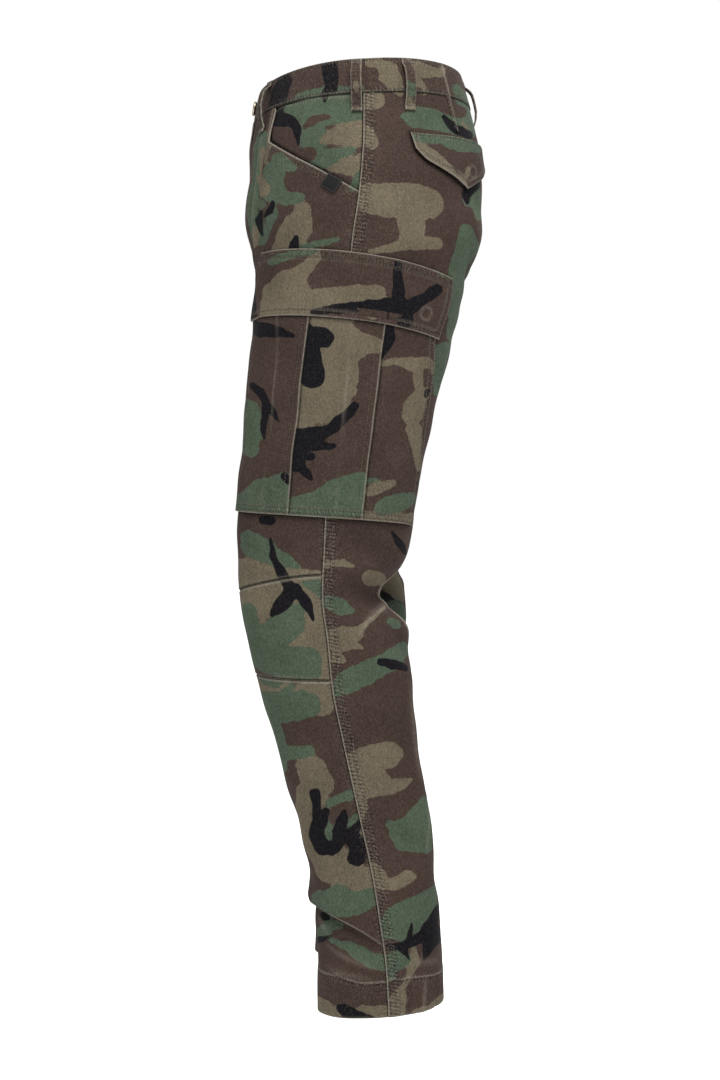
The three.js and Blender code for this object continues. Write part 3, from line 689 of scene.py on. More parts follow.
FRONT_PRINT = charted(
    """
green 289,110,6 303,102,10 322,99,12 345,98,12 364,98,13
green 300,112,7 318,112,14 340,112,12 360,110,10
green 307,126,8 309,143,9
green 318,160,11 336,156,8 354,149,3
green 319,130,7 318,146,8
brown 304,127,2.5 312,121,4.5 323,117,3.5 331,117,1.2
khaki 321,141,2.5 332,137,8 347,134,12 368,133,14
green 320,158,9 336,156,7 354,149,2.5
khaki 330,170,3 344,166,8 362,166,13
green 362,172,3 358,181,6 352,188,4
black 285,80,7 279,96,9 276,110,8
black 278,119,8 290,120,6 297,128,4.5 298,145,1.2
brown 303,156,7 310,154,7
black 329,61,9 331,78,8 332,88,6
black 330,88,5 325,94,4 325,103,1.2
green 279,160,8 292,168,5
green 274,172,11 272,190,12 286,199,7 299,198,5.5
brown 294,181,10 308,180,14
khaki 303,211,9 298,227,15 282,249,13
green 303,247,3 322,243,3.5 339,239,2
green 274,212,4 268,226,4 262,242,4
brown 280,217,2.5 273,234,3.5 268,249,4
green 250,138,8 249,170,8 247,200,9 250,240,8
khaki 264,128,4 267,145,4.5 263,160,4
khaki 253,150,2.5 255,168,3
khaki 256,178,5 264,189,7
green 254,202,6 262,204,4
khaki 257,228,4 254,244,4
black 296,238,3 294,246,5.5 292,256,5.5
black 273,203,2 270,211,3.5 265,217,1.5
black 261,211,1.5 259,220,4 262,236,1.2
green 246,300,10 240,330,12
khaki 244,372,6 244,390,7
green 240,412,10 236,440,12
black 262,520,4 271,521,4.5
green 248,538,8 254,546,13 269,554,10 284,561,8 298,566,2.5
khaki 242,574,16 264,579,14 290,576,8 316,576,6
khaki 243,592,13 267,592,11 286,591,6
green 284,560,8 298,566,2.5
khaki 258,600,9 268,610,6 260,617,5 261,624,1
khaki 296,588,4 310,598,8 319,615,10 316,632,11 306,642,9 292,648,6
khaki 298,602,9 303,620,9 316,646,8
khaki 306,696,6 313,690,6 318,702,7
khaki 324,636,8 327,662,5 326,690,9 327,706,8 320,719,2.5
green 305,583,3 316,586,7 324,594,6
green 248,612,9 254,634,12 264,655,15 286,661,15 308,661,14
green 276,634,16 291,624,14 298,611,7
khaki 262,600,6 267,609,4.5 261,616,3.6 261,624,1
green 264,664,8 285,672,8 308,673,8 316,672,6
black 270,538,1.2 273,556,3.5 281,573,4.8 288,584,6 291,592,7
black 292,589,6.5 286,600,8 280,606,7 274,612,4.5 271,618,1.5
black 295,590,6.5 303,598,5.5 309,608,4.5 313,620,1.8
green 260,684,8 280,688,8 300,692,6
khaki 258,682,3 262,688,3.2 276,691,2.6 287,684,1.6
khaki 293,692,1.8 299,687,3 308,685,4 325,686,5.5
green 262,704,12 286,707,16 308,705,13
green 272,728,10 276,748,11 280,766,8
green 288,753,7 309,752,6.5
brown 291,735,7 312,733,11 330,728,14
khaki 299,765,4 312,771,15 319,784,15 312,800,12
khaki 302,790,6 303,815,7 306,840,9
khaki 314,850,8 330,868,15 350,877,15 370,880,12
khaki 344,853,5 345,862,7
brown 291,775,5 291,789,3.5
green 329,803,4 344,797,5 354,793,5
green 327,826,4.5 327,837,4
green 350,824,4 357,816,3
khaki 357,834,3 362,832,3
black 315,794,6 316,801,5 317,809,4 318,820,6 317,834,8
black 317,836,8 322,847,8 331,849,7 338,843,6.5 341,834,6
black 326,811,3.5 323,820,5 319,828,6
black 344,812,2.5 343,820,5.5 338,832,6
black 341,836,6 352,838,8 358,846,8 357,857,9.5
black 350,834,6 357,828,4 361,821,3
green 320,899,9 338,902,16 355,904,12 372,897,9
green 340,889,6 343,888,4
black 322,915,3.5 326,917,4
green 321,932,5 331,925,6 341,926,3
black 319,940,3 331,936,1.8
green 331,941,2 345,945,4.5 358,952,7 372,961,8 388,963,9
khaki 319,1004,7 330,1012,7 336,1017,4
khaki 362,1011,5.5 375,1012,6.5 392,1012,7
black 341,1008,5 350,1014,7.5 365,1019,5 378,1022,4
"""
)
BACK_PRINT = charted(
    """
khaki 372,61,7 386,70,12 394,82,9 400,93,4
brown 360,74,7 373,74,6.5
brown 384,57,3 395,59,5
khaki 362,99,9 375,100,9.5
khaki 366,136,10 372,142,7
khaki 412,68,8 430,70,8 441,72,5
khaki 414,80,7 424,90,5
brown 424,61,2.5 437,65,3
brown 416,90,3.5 421,92,3
brown 434,86,8 446,86,8
green 456,88,4 463,98,8 471,110,9 475,122,8
green 403,116,3 416,117,11 430,119,11 444,123,9 458,126,8 474,128,8
brown 457,108,4 462,112,5
khaki 462,124,2 468,130,2.5
black 443,117,2.5 450,124,4 457,130,5 470,135,4
khaki 356,197,13 385,200,17 412,201,18 428,204,16
khaki 411,215,14 412,232,13 404,243,7
khaki 412,243,7 436,243,6.5
khaki 404,245,6 370,252,2.5
brown 352,230,15 382,231,14.5 390,230,7
brown 430,222,4 434,229,8 448,227,9
green 474,198,10 481,214,7
green 466,232,8 468,250,13 460,272,12
brown 467,213,6 473,222,3
black 474,182,8 466,195,5 468,203,2
green 457,290,10 458,318,10 452,336,6
green 444,352,10 441,376,9 437,392,4
khaki 420,300,14 400,330,18 418,350,9
black 380,380,8 392,400,6 398,424,3
black 393,533,2 399,543,3.5 405,552,3.5
khaki 326,564,3.5 343,563,4 353,566,1.6
khaki 370,578,8 379,579,7
green 328,602,7 341,607,8.5 351,611,3.5
khaki 330,642,13 346,638,12 355,634,8
khaki 352,644,6 362,648,1.5
khaki 350,632,6 358,631,3.5 366,624,2.4 376,615,2 385,607,1.6
khaki 330,655,8 343,660,3.5
green 336,690,7 347,682,12 366,673,12 388,662,10 402,650,8
green 391,621,4 396,625,5
black 380,662,4 392,664,5 405,668,3.5
khaki 346,768,13 370,760,15 388,755,13.5 396,753,8
khaki 352,788,12 372,782,16 388,786,9.5 402,784,6 412,779,1.5
khaki 356,797,12 362,809,6 361,820,1.5
brown 393,774,5 402,773,5.5 416,768,5
green 389,824,4 402,832,13 416,831,19 426,805,9
green 401,845,6 426,846,7
khaki 372,870,8 381,880,10 395,884,6.5 408,877,7 414,877,3
brown 391,860,5 391,874,4
green 386,930,10 400,922,18 416,912,16 430,898,9 438,887,4
green 388,964,10 401,960,9
green 388,976,5 391,976,5
khaki 414,951,3 415,962,5.5 409,975,3.5 404,986,3 398,1000,9 396,1018,9
khaki 444,997,4 430,1008,3.5 414,1013,3
black 389,947,3.5 403,946,4.5 415,941,4.5 428,930,7 439,908,3.5
black 409,940,3.5 412,923,1
black 430,940,9 437,934,9
black 428,948,5 424,960,1.2
black 404,950,4 409,959,1
khaki 468,400,8 464,430,12 452,452,8
green 446,486,6 458,508,13 452,530,8
green 432,556,6 440,580,14 436,604,8
black 446,590,5 452,610,7 448,628,3
khaki 440,640,7 450,664,13 446,690,8
green 446,724,9 450,748,13 462,762,7
khaki 450,800,8 452,826,12 446,846,7
black 460,868,5 456,886,7 448,900,3
"""
)
FLAP_PRINT = charted(
    """
green 271,262,3.5 280,258,4.5 290,255,4 304,253,3 317,251,2.5
green 424,261,2 440,270,4 452,276,4
khaki 271,307,11 278,296,16 289,291,21 298,300,17
khaki 294,280,11 307,267,7 318,256,4
khaki 300,303,13 330,298,10.5 360,293,8.5 379,293,7.5
khaki 268,313,8 290,314,8 300,314,6
khaki 366,315,2 375,317,2.5
black 312,312,2.5 335,309,5 360,307,6 385,306,8 400,308,12 405,319,9
black 398,263,4 398,278,5 399,296,6.5
black 408,308,8 422,300,6 432,293,6 438,289,5
black 252,292,2.5 253,316,4
"""
)
POCKET_FRONT_PRINT = charted(
    """
green 247,412,13 249,435,12 250,448,9
green 245,504,12 262,496,17 280,494,20 296,494,18
black 256,328,7 264,330,8 280,332,5 293,336,2
black 253,386,3.5 261,393,4.5 266,401,4 265,415,3.5 263,430,3 264,439,1
black 266,404,4 274,414,3.5 279,421,1
black 285,477,4.5 290,482,3.5
"""
)
POCKET_MIDDLE_PRINT = charted(
    """
khaki 303,330,16 335,332,18 352,345,16 374,345,9
khaki 330,345,25 332,375,27 320,400,24 303,411,17
khaki 345,390,12 341,402,8
brown 374,363,10 370,385,10.5 369,402,9
brown 372,325,7 381,331,8
green 298,510,14 320,508,18 340,498,20 360,494,22
black 307,330,7 308,345,11 310,368,14 312,375,13.5
black 318,337,11 324,338,10
black 294,440,11 310,437,10 328,431,6 345,417,6 355,406,4
black 303,446,5 322,446,4.5 334,446,2.5
black 298,456,5 312,456,3.8
black 298,465,5 307,473,4 311,479,2.5
black 295,450,10 297,463,9
"""
)
POCKET_BACK_PRINT = charted(
    """
khaki 382,364,2.5 395,361,3.5 412,364,7 426,367,10
khaki 420,378,8 422,392,6 415,405,11 412,415,10.5
khaki 414,430,8 417,450,5 419,469,2.5
brown 427,372,3.5 428,384,4.5
khaki 369,492,4.5 380,487,6.5 393,483,3
green 366,481,3 377,480,1.6
khaki 364,517,6 390,519,5 412,518,5
green 382,508,8 395,504,10 410,499,7
black 386,331,9 389,338,7 384,349,5 381,358,1.5
black 428,391,3 426,396,2
"""
)
BACK_FLAP_PRINT = charted(
    """
green 412,137,4 440,136,9 460,142,9.5 478,146,7
khaki 417,150,9 425,158,12 436,166,12 450,176,8 462,183,5
brown 440,148,4.5 443,153,3
khaki 468,169,2.5 467,175,3
"""
)
LOOP_PRINT = {
    "side": charted("khaki 363,60,3 364,110,3; khaki 356,84,3 357,90,2"),
    "back": charted("green 402,84,6 412,90,7; khaki 407,96,3 411,108,6"),
    "front": charted("green 262,92,7 266,128,7; brown 261,88,2 260,130,2"),
    "centre_back": charted("green 480,80,9 486,92,7"),
}
BETWEEN_PRINT = charted(
    """
khaki 388,576,12 402,590,12
green 394,607,7 404,618,10 410,640,9 408,655,6
"""
)
WHOLE_PRINT = (
    FRONT_PRINT
    + BACK_PRINT
    + FLAP_PRINT
    + POCKET_FRONT_PRINT
    + POCKET_MIDDLE_PRINT
    + POCKET_BACK_PRINT
)


class Print:
    """Paints strokes and gives, for each point, how deep it lies in khaki, green and black."""

    WANDER = 0.5
    WANDER_LENGTH = 13.0

    def __init__(self) -> None:
        """Draws the slight wander of the strokes' edges."""
        draw = np.random.default_rng(5)
        turn = draw.uniform(0, 2 * math.pi, (2, 5))
        length = self.WANDER_LENGTH * draw.uniform(0.6, 1.7, (2, 5))
        self.waves = np.stack([np.cos(turn) / length, np.sin(turn) / length], axis=-1) * 2 * math.pi
        self.phases = draw.uniform(0, 2 * math.pi, (2, 5))
        self.loose = tuple(stroke.straightened() for stroke in WHOLE_PRINT if stroke.repeats())

    def _wander(self, u: Grid, v: Grid) -> tuple:
        """The places moved a little, so that edges aren't ruled.

        Args:
            u: places across the chart.
            v: places down the chart.

        Returns:
            The moved places.
        """
        moved = []
        for waves, phases, base in zip(self.waves, self.phases, (u, v)):
            shift = sum(np.sin(u * kx + v * ky + phase) for (kx, ky), phase in zip(waves, phases))
            moved.append(base + shift * self.WANDER / math.sqrt(5))
        return tuple(moved)

    def paint(self, strokes: tuple, u: Grid, v: Grid, under: object = None) -> Grid:
        """Lays the strokes on in order.

        Args:
            strokes: the strokes, the lowest first.
            u: how far across the chart each point is.
            v: how far down the chart.
            under: the depths of what is there already, if anything is.

        Returns:
            For each point its depth in khaki, green and black, in millimetres.
        """
        u, v = self._wander(u, v)
        ink = np.full((len(Tone),) + u.shape, -INK_REACH)
        if under is not None:
            ink[1:] = np.moveaxis(under, -1, 0)
        for stroke in strokes:
            left, right, top, bottom = stroke.box()
            near = (u > left - INK_REACH) & (u < right + INK_REACH)
            near &= (v > top - INK_REACH) & (v < bottom + INK_REACH)
            if not near.any():
                continue
            depth = np.clip(stroke.depth(u[near], v[near]) * CHART_STEP, -INK_REACH, INK_REACH)
            level = stroke.tone.value
            for above in range(level + 1, len(Tone)):
                ink[above][near] = np.minimum(ink[above][near], -depth)
            ink[level][near] = np.maximum(ink[level][near], depth)
        return np.moveaxis(ink[1:], 0, -1)

    def between_legs(self, points: Grid, normals: Grid, under: Grid) -> Grid:
        """The print with what shows of the right leg's inner side, behind the left knee.

        Args:
            points: places in space.
            normals: the outward normals there.
            under: the print so far.

        Returns:
            The print's three depths.
        """
        u, v = on_chart(points, 1)
        facing = smooth(normals[..., 0], 0.0, 0.3)[..., None]
        return self.paint(BETWEEN_PRINT, u, v, under) * facing + under * (1 - facing)

    def repeat(self, u: Grid, v: Grid, turned: bool) -> Grid:
        """The larger strokes laid again and again, for the sides that the chart doesn't cover.

        Args:
            u: how far across the chart each point is.
            v: how far down the chart.
            turned: whether the print is turned half round, as it is on the right leg.

        Returns:
            The same as paint does.
        """
        u = u - leg_line(v)
        if turned:
            u, v = -u, TURNED_ABOUT - v
        laid = []
        for stroke in self.loose:
            left, right, top, bottom = stroke.box()
            first = math.floor((u.min() - right) / REPEAT_WIDTH)
            last = math.ceil((u.max() - left) / REPEAT_WIDTH)
            for i in range(first, last + 1):
                drop = REPEAT_DROP * i
                low = math.floor((v.min() - bottom - drop) / CHART_DEPTH)
                high = math.ceil((v.max() - top - drop) / CHART_DEPTH)
                laid += [stroke.moved(REPEAT_WIDTH * i, drop + CHART_DEPTH * j) for j in range(low, high + 1)]
        return self.paint(tuple(laid), u, v)

    def cover(self, strokes: tuple, chart: "Chart", leg: Leg) -> Grid:
        """The print on a piece: the charted strokes where the chart reaches, and the repeat.

        Args:
            strokes: the piece's strokes.
            chart: the piece's places on the chart.
            leg: the leg.

        Returns:
            The print's three depths.
        """
        if leg is Leg.RIGHT:
            return self.repeat(chart.u, chart.v, True)
        charted = self.paint(strokes, chart.u, chart.v)
        if chart.hidden.max() <= 0:
            return charted
        beyond = smooth(chart.hidden, 0, 12)[..., None]
        return charted * (1 - beyond) + self.repeat(chart.u, chart.v, False) * beyond


def on_chart(points: Grid, side: int) -> tuple:
    """Across and down on the chart, as seen from the chart's eye on the left, or mirrored.

    Args:
        points: places in space.
        side: 1 on the left leg, -1 on the right one.

    Returns:
        Places across and down.
    """
    depth = (CHART_EYE[0] - CHART_PLANE) / (CHART_EYE[0] - points[..., 0] * side)
    u = CHART_MIDDLE[0] + (points[..., 1] - CHART_EYE[1]) * depth / CHART_STEP
    return u, CHART_MIDDLE[1] - (points[..., 2] - CHART_EYE[2]) * depth / CHART_STEP


def leg_line(v: Grid) -> Grid:
    """The middle of the leg on the chart at each height."""
    heights, middles = zip(*LEG_LINE)
    return np.interp(v, heights, middles)


@dataclass(frozen=True)
class Chart:
    """Where a grid of points falls on the print's chart."""

    u: Grid
    v: Grid
    hidden: Grid

    @classmethod
    def over(cls, points: Grid, normals: Grid, start: int, leg: Leg, way: int = 1) -> "Chart":
        """Lays the chart over a grid, from one of its columns both ways.

        Args:
            points: rows by columns by 3, in millimetres.
            normals: the same, outward.
            start: the column nearest to the side seam.
            leg: the leg that the grid is on.
            way: 1 if the columns run from front to back past the side seam, or else -1.

        Returns:
            The chart places, which run on round the cloth past what the chart's view shows.
        """
        side = 1 if leg is Leg.LEFT else -1
        seen, v = on_chart(points, side)
        run = np.linalg.norm(np.diff(points, axis=1), axis=-1) / CHART_STEP
        to_eye = normals[..., 0] * side
        shows = (to_eye[:, 1:] + to_eye[:, :-1]) / 2 > 0.1
        step = np.where(shows, np.maximum(np.abs(np.diff(seen, axis=1)), 0.3 * run), run) * way
        walk = np.concatenate([np.zeros_like(seen[:, :1]), np.cumsum(step, axis=1)], axis=1)
        u = walk - walk[:, start : start + 1] + seen[:, start : start + 1]
        unseen = np.where(shows, 0, run)
        dark = np.concatenate([np.zeros_like(seen[:, :1]), np.cumsum(unseen, axis=1)], axis=1)
        hidden = np.abs(dark - dark[:, start : start + 1])
        return cls(u, v, hidden)


@dataclass
class Wall:
    """A grid of outer and inner points, joined into one closed thin wall of cloth."""

    name: str
    outer: Grid
    inner: Grid
    normals: Grid
    ink: Grid
    worn: Grid
    seam: Grid
    painted_shading: Grid
    run: Grid

    def line(self, row: int | None = None, column: int | None = None) -> tuple:
        """One line of the outer grid and its normals, for a row of stitches.

        Args:
            row: the row's number, for a line across.
            column: the column's number, for a line down.

        Returns:
            The points and their normals.
        """
        if row is None:
            return self.outer[:, column], self.normals[:, column]
        return self.outer[row], self.normals[row]

    def area(self) -> float:
        """The outer face's area in square metres.

        Returns:
            The area.
        """
        across = np.diff(self.outer, axis=1)[:-1]
        down = np.diff(self.outer, axis=0)[:, :-1]
        return float(np.linalg.norm(np.cross(across, down), axis=-1).sum()) * MM * MM

    def mesh(self) -> bpy.types.Object:
        """The wall as a scene object, its outer face in material slot 0 and its inner in 1.

        Returns:
            The object.
        """
        rows, columns = self.outer.shape[:2]
        count = rows * columns
        index = np.arange(count).reshape(rows, columns)
        a, b = index[:-1, :-1].ravel(), index[1:, :-1].ravel()
        c, d = index[1:, 1:].ravel(), index[:-1, 1:].ravel()
        outside = np.stack([a, b, c, d], axis=1)
        inside = np.stack([a, d, c, b], axis=1) + count
        rims = []
        edges = ((index[:, 0], True), (index[:, -1], False), (index[0], False), (index[-1], True))
        for edge, onward in edges:
            near, far = (edge[:-1], edge[1:]) if onward else (edge[1:], edge[:-1])
            rims.append(np.stack([near, near + count, far + count, far], axis=1))
        faces = np.concatenate([outside, inside] + rims)
        slots = np.zeros(len(faces), np.int32)
        slots[len(outside) : 2 * len(outside)] = 1
        points = np.concatenate([self.outer.reshape(-1, 3), self.inner.reshape(-1, 3)]) * MM
        obj = solid_from(f"{self.name}_cloth", points, faces, slots)
        mesh = obj.data
        grids = (self.worn, self.seam, self.painted_shading, self.run)
        worn, seam, painted_shading, run = (np.broadcast_to(grid, (rows, columns)) for grid in grids)
        # The marks carry wear, seam puckering and painted light and shade.
        marks, runs = np.stack([worn, seam, painted_shading], axis=-1), np.stack([run] * 3, axis=-1)
        for name, grid in (("camo", self.ink), ("marks", marks), ("runs", runs)):
            layer = mesh.attributes.new(name, "FLOAT_VECTOR", "POINT")
            values = np.concatenate([grid.reshape(-1, 3)] * 2)
            layer.data.foreach_set("vector", values.astype(np.float32).ravel())
        return obj


def solid_from(name: str, points: Grid, faces: Grid, slots: Grid) -> bpy.types.Object:
    """A smooth closed mesh object of four-sided faces, turned to face outward.

    Args:
        name: the object's name.
        points: its vertices, in metres.
        faces: four vertex numbers for each face.
        slots: each face's material slot.

    Returns:
        The object, linked to the scene.
    """
    p = points[faces]
    volume = np.einsum("ij,ij->i", p[:, 0], np.cross(p[:, 1], p[:, 2])).sum()
    volume += np.einsum("ij,ij->i", p[:, 0], np.cross(p[:, 2], p[:, 3])).sum()
    if volume < 0:
        faces = faces[:, ::-1]
    mesh = bpy.data.meshes.new(name)
    mesh.vertices.add(len(points))
    mesh.vertices.foreach_set("co", points.astype(np.float32).ravel())
    mesh.loops.add(faces.size)
    mesh.loops.foreach_set("vertex_index", faces.astype(np.int32).ravel())
    mesh.polygons.add(len(faces))
    mesh.polygons.foreach_set("loop_start", np.arange(0, faces.size, 4, dtype=np.int32))
    mesh.polygons.foreach_set("material_index", slots.astype(np.int32))
    mesh.polygons.foreach_set("use_smooth", np.ones(len(faces), bool))
    mesh.update(calc_edges=True)
    mesh.validate()
    obj = bpy.data.objects.new(name, mesh)
    bpy.context.scene.collection.objects.link(obj)
    return obj


def rounded(distance: Grid, radius: float) -> Grid:
    """How far a face drops near an edge so that the edge is round."""
    short = np.clip(radius - distance, 0, radius)
    return radius - np.sqrt(np.maximum(radius * radius - short * short, 0))


def spaced(start: float, stop: float, step: float, before: tuple = (), after: tuple = ()) -> Grid:
    """Places from start to stop: even between, with set lines beside each end.

    Args:
        start: the first place.
        stop: the last place.
        step: the most between two even places.
        before: distances from start of the lines beside it, from 0 up.
        after: distances from stop of the lines beside it, from 0 up.

    Returns:
        The places in order.
    """
    sign = 1 if stop > start else -1
    head = start + sign * np.array(before or (0,), float)
    tail = stop - sign * np.array(after or (0,), float)[::-1]
    count = max(2, math.ceil(abs(tail[0] - head[-1]) / step) + 1)
    return np.concatenate([head[:-1], np.linspace(head[-1], tail[0], count), tail[1:]])


def ruled(size: float, lines: tuple) -> Grid:
    """Shares of a size from 0 to 1, a fine step apart, with set lines beside both ends."""
    beside = tuple(np.array(lines) / size)
    return spaced(0, 1, FINE_STEP / size, beside, beside)


def merged(lines: Grid, extra: Grid, gap: float) -> Grid:
    """The lines with extra ones among them, less those that come within gap of an extra one.

    Args:
        lines: places in order.
        extra: the places to add.
        gap: the least distance kept from an added place.

    Returns:
        All the lines in order.
    """
    extra = np.asarray(extra, float)
    far = np.abs(lines[:, None] - extra[None, :]).min(axis=1) > gap
    order = np.sort(np.concatenate([lines[far], extra]))
    return order if lines[-1] > lines[0] else order[::-1]


def read_along(line: Grid, length: Grid, where: Grid) -> Grid:
    """A line's points, or its normals, at distances along it."""
    return np.stack([np.interp(where, length, line[:, k]) for k in range(3)], axis=1)


class Sewing:
    """Rows of stitches: short threads laid end to end, joined into one mesh for each region."""

    PITCH = 3.3
    LENGTH = 2.5
    RADIUS = 0.36
    SINK = 0.22
    RINGS = ((-0.5, 0.45, -1.0), (0.0, 1.0, 0.35), (0.5, 0.45, -1.0))

    def __init__(self) -> None:
        """Starts with no stitches."""
        self.runs: dict = {}

    def run(self, region: str, points: Grid, normals: Grid) -> None:
        """Lays one row of stitches along a line.

        Args:
            region: the mesh that the row goes into.
            points: the line, in millimetres.
            normals: the cloth's outward normals along it.
        """
        length = np.concatenate([[0], np.cumsum(np.linalg.norm(np.diff(points, axis=0), axis=1))])
        count = int((length[-1] - self.LENGTH) / self.PITCH)
        if count < 1:
            return
        middle = self.PITCH * (np.arange(count) + 0.5) + self.LENGTH / 4
        ahead = unit(read_along(points, length, middle + 0.6) - read_along(points, length, middle - 0.6))
        up = read_along(normals, length, middle)
        up = unit(up - ahead * np.einsum("ij,ij->i", up, ahead)[:, None])
        self.runs.setdefault(region, []).append((read_along(points, length, middle), ahead, up))

    def build(self, region: str) -> bpy.types.Object:
        """All the stitches of one region as one object.

        Args:
            region: the name of the stitches' region.

        Returns:
            The object.
        """
        centre, ahead, up = (np.concatenate(part) for part in zip(*self.runs[region]))
        aside = np.cross(up, ahead)
        rings = []
        for share, size, lift in self.RINGS:
            base = centre + ahead * share * self.LENGTH + up * (lift * self.SINK + 0.1)
            for right, rise in ((1, 0), (0, 1), (-1, 0), (0, -1)):
                rings.append(base + (aside * right + up * rise) * self.RADIUS * size)
        points = np.stack(rings, axis=1)
        quads = [(3, 2, 1, 0), (8, 9, 10, 11)]
        for ring in (0, 4):
            quads += [(ring + k, ring + (k + 1) % 4, ring + (k + 1) % 4 + 4, ring + k + 4) for k in range(4)]
        per = points.shape[1]
        faces = np.array(quads)[None] + (np.arange(len(points)) * per)[:, None, None]
        faces = faces.reshape(-1, 4)
        return solid_from(region, points.reshape(-1, 3) * MM, faces, np.zeros(len(faces)))


@dataclass
class Workshop:
    """What every piece is made with: the form, the print, the sewing and the finishes."""

    form: GarmentForm
    rows: PanelRows
    dyes: Print
    sewing: Sewing
    finishes: dict = field(default_factory=dict)

    def sew(self, region: str, wall: Wall, first: int, last: int, **line: int) -> None:
        """Lays stitches along a row or a column of a wall, from its first place to its last."""
        points, normals = wall.line(**line)
        self.sewing.run(region, points[first:last], normals[first:last])

    def dress(self, wall: Wall, node: str, flat: tuple, rests_on: tuple = ()) -> bpy.types.Object:
        """Makes a wall's object, gives it its cloth, hangs it on the body and hides the CAD node that it replaces.

        Args:
            wall: the wall.
            node: the CAD node that it replaces.
            flat: width and length of the cloth before it was sewn, in millimetres.
            rests_on: the pieces that hold it up; not used.

        Returns:
            The object.
        """
        obj = wall.mesh()
        obj.data.materials.append(self.finishes["camo"])
        obj.data.materials.append(self.finishes["inside"])
        width, length = (float(size) * MM for size in flat)
        area = round(min(wall.area(), width * length), 8)
        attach(obj, BODY)
        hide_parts(node)
        LOG.info("%s: %d faces, %.4f m2 of cloth", obj.name, len(obj.data.polygons), area)
        return obj


def edge_wear(*distances: Grid) -> Grid:
    """How pale the cloth has worn along its edges."""
    nearest = np.minimum.reduce(distances)
    return np.exp(-((nearest / 1.25) ** 2))


@dataclass
class Relief:
    """How far a panel's cloth stands out, its painted light and shade, how puckered and worn it is, and its thread's
    way.
    """

    out: Grid
    # Painted light and shade: shadows beside pieces, shade in grooves and folds, lighter crests.
    painted_shading: Grid
    seam: Grid
    worn: Grid
    run: Grid

    def rub(self, amount: Grid) -> None:
        """Pales the cloth to at least an amount."""
        self.worn = np.maximum(self.worn, amount)

    def pucker(self, amount: Grid) -> None:
        """Puckers the cloth to at least an amount."""
        self.seam = np.maximum(self.seam, amount)


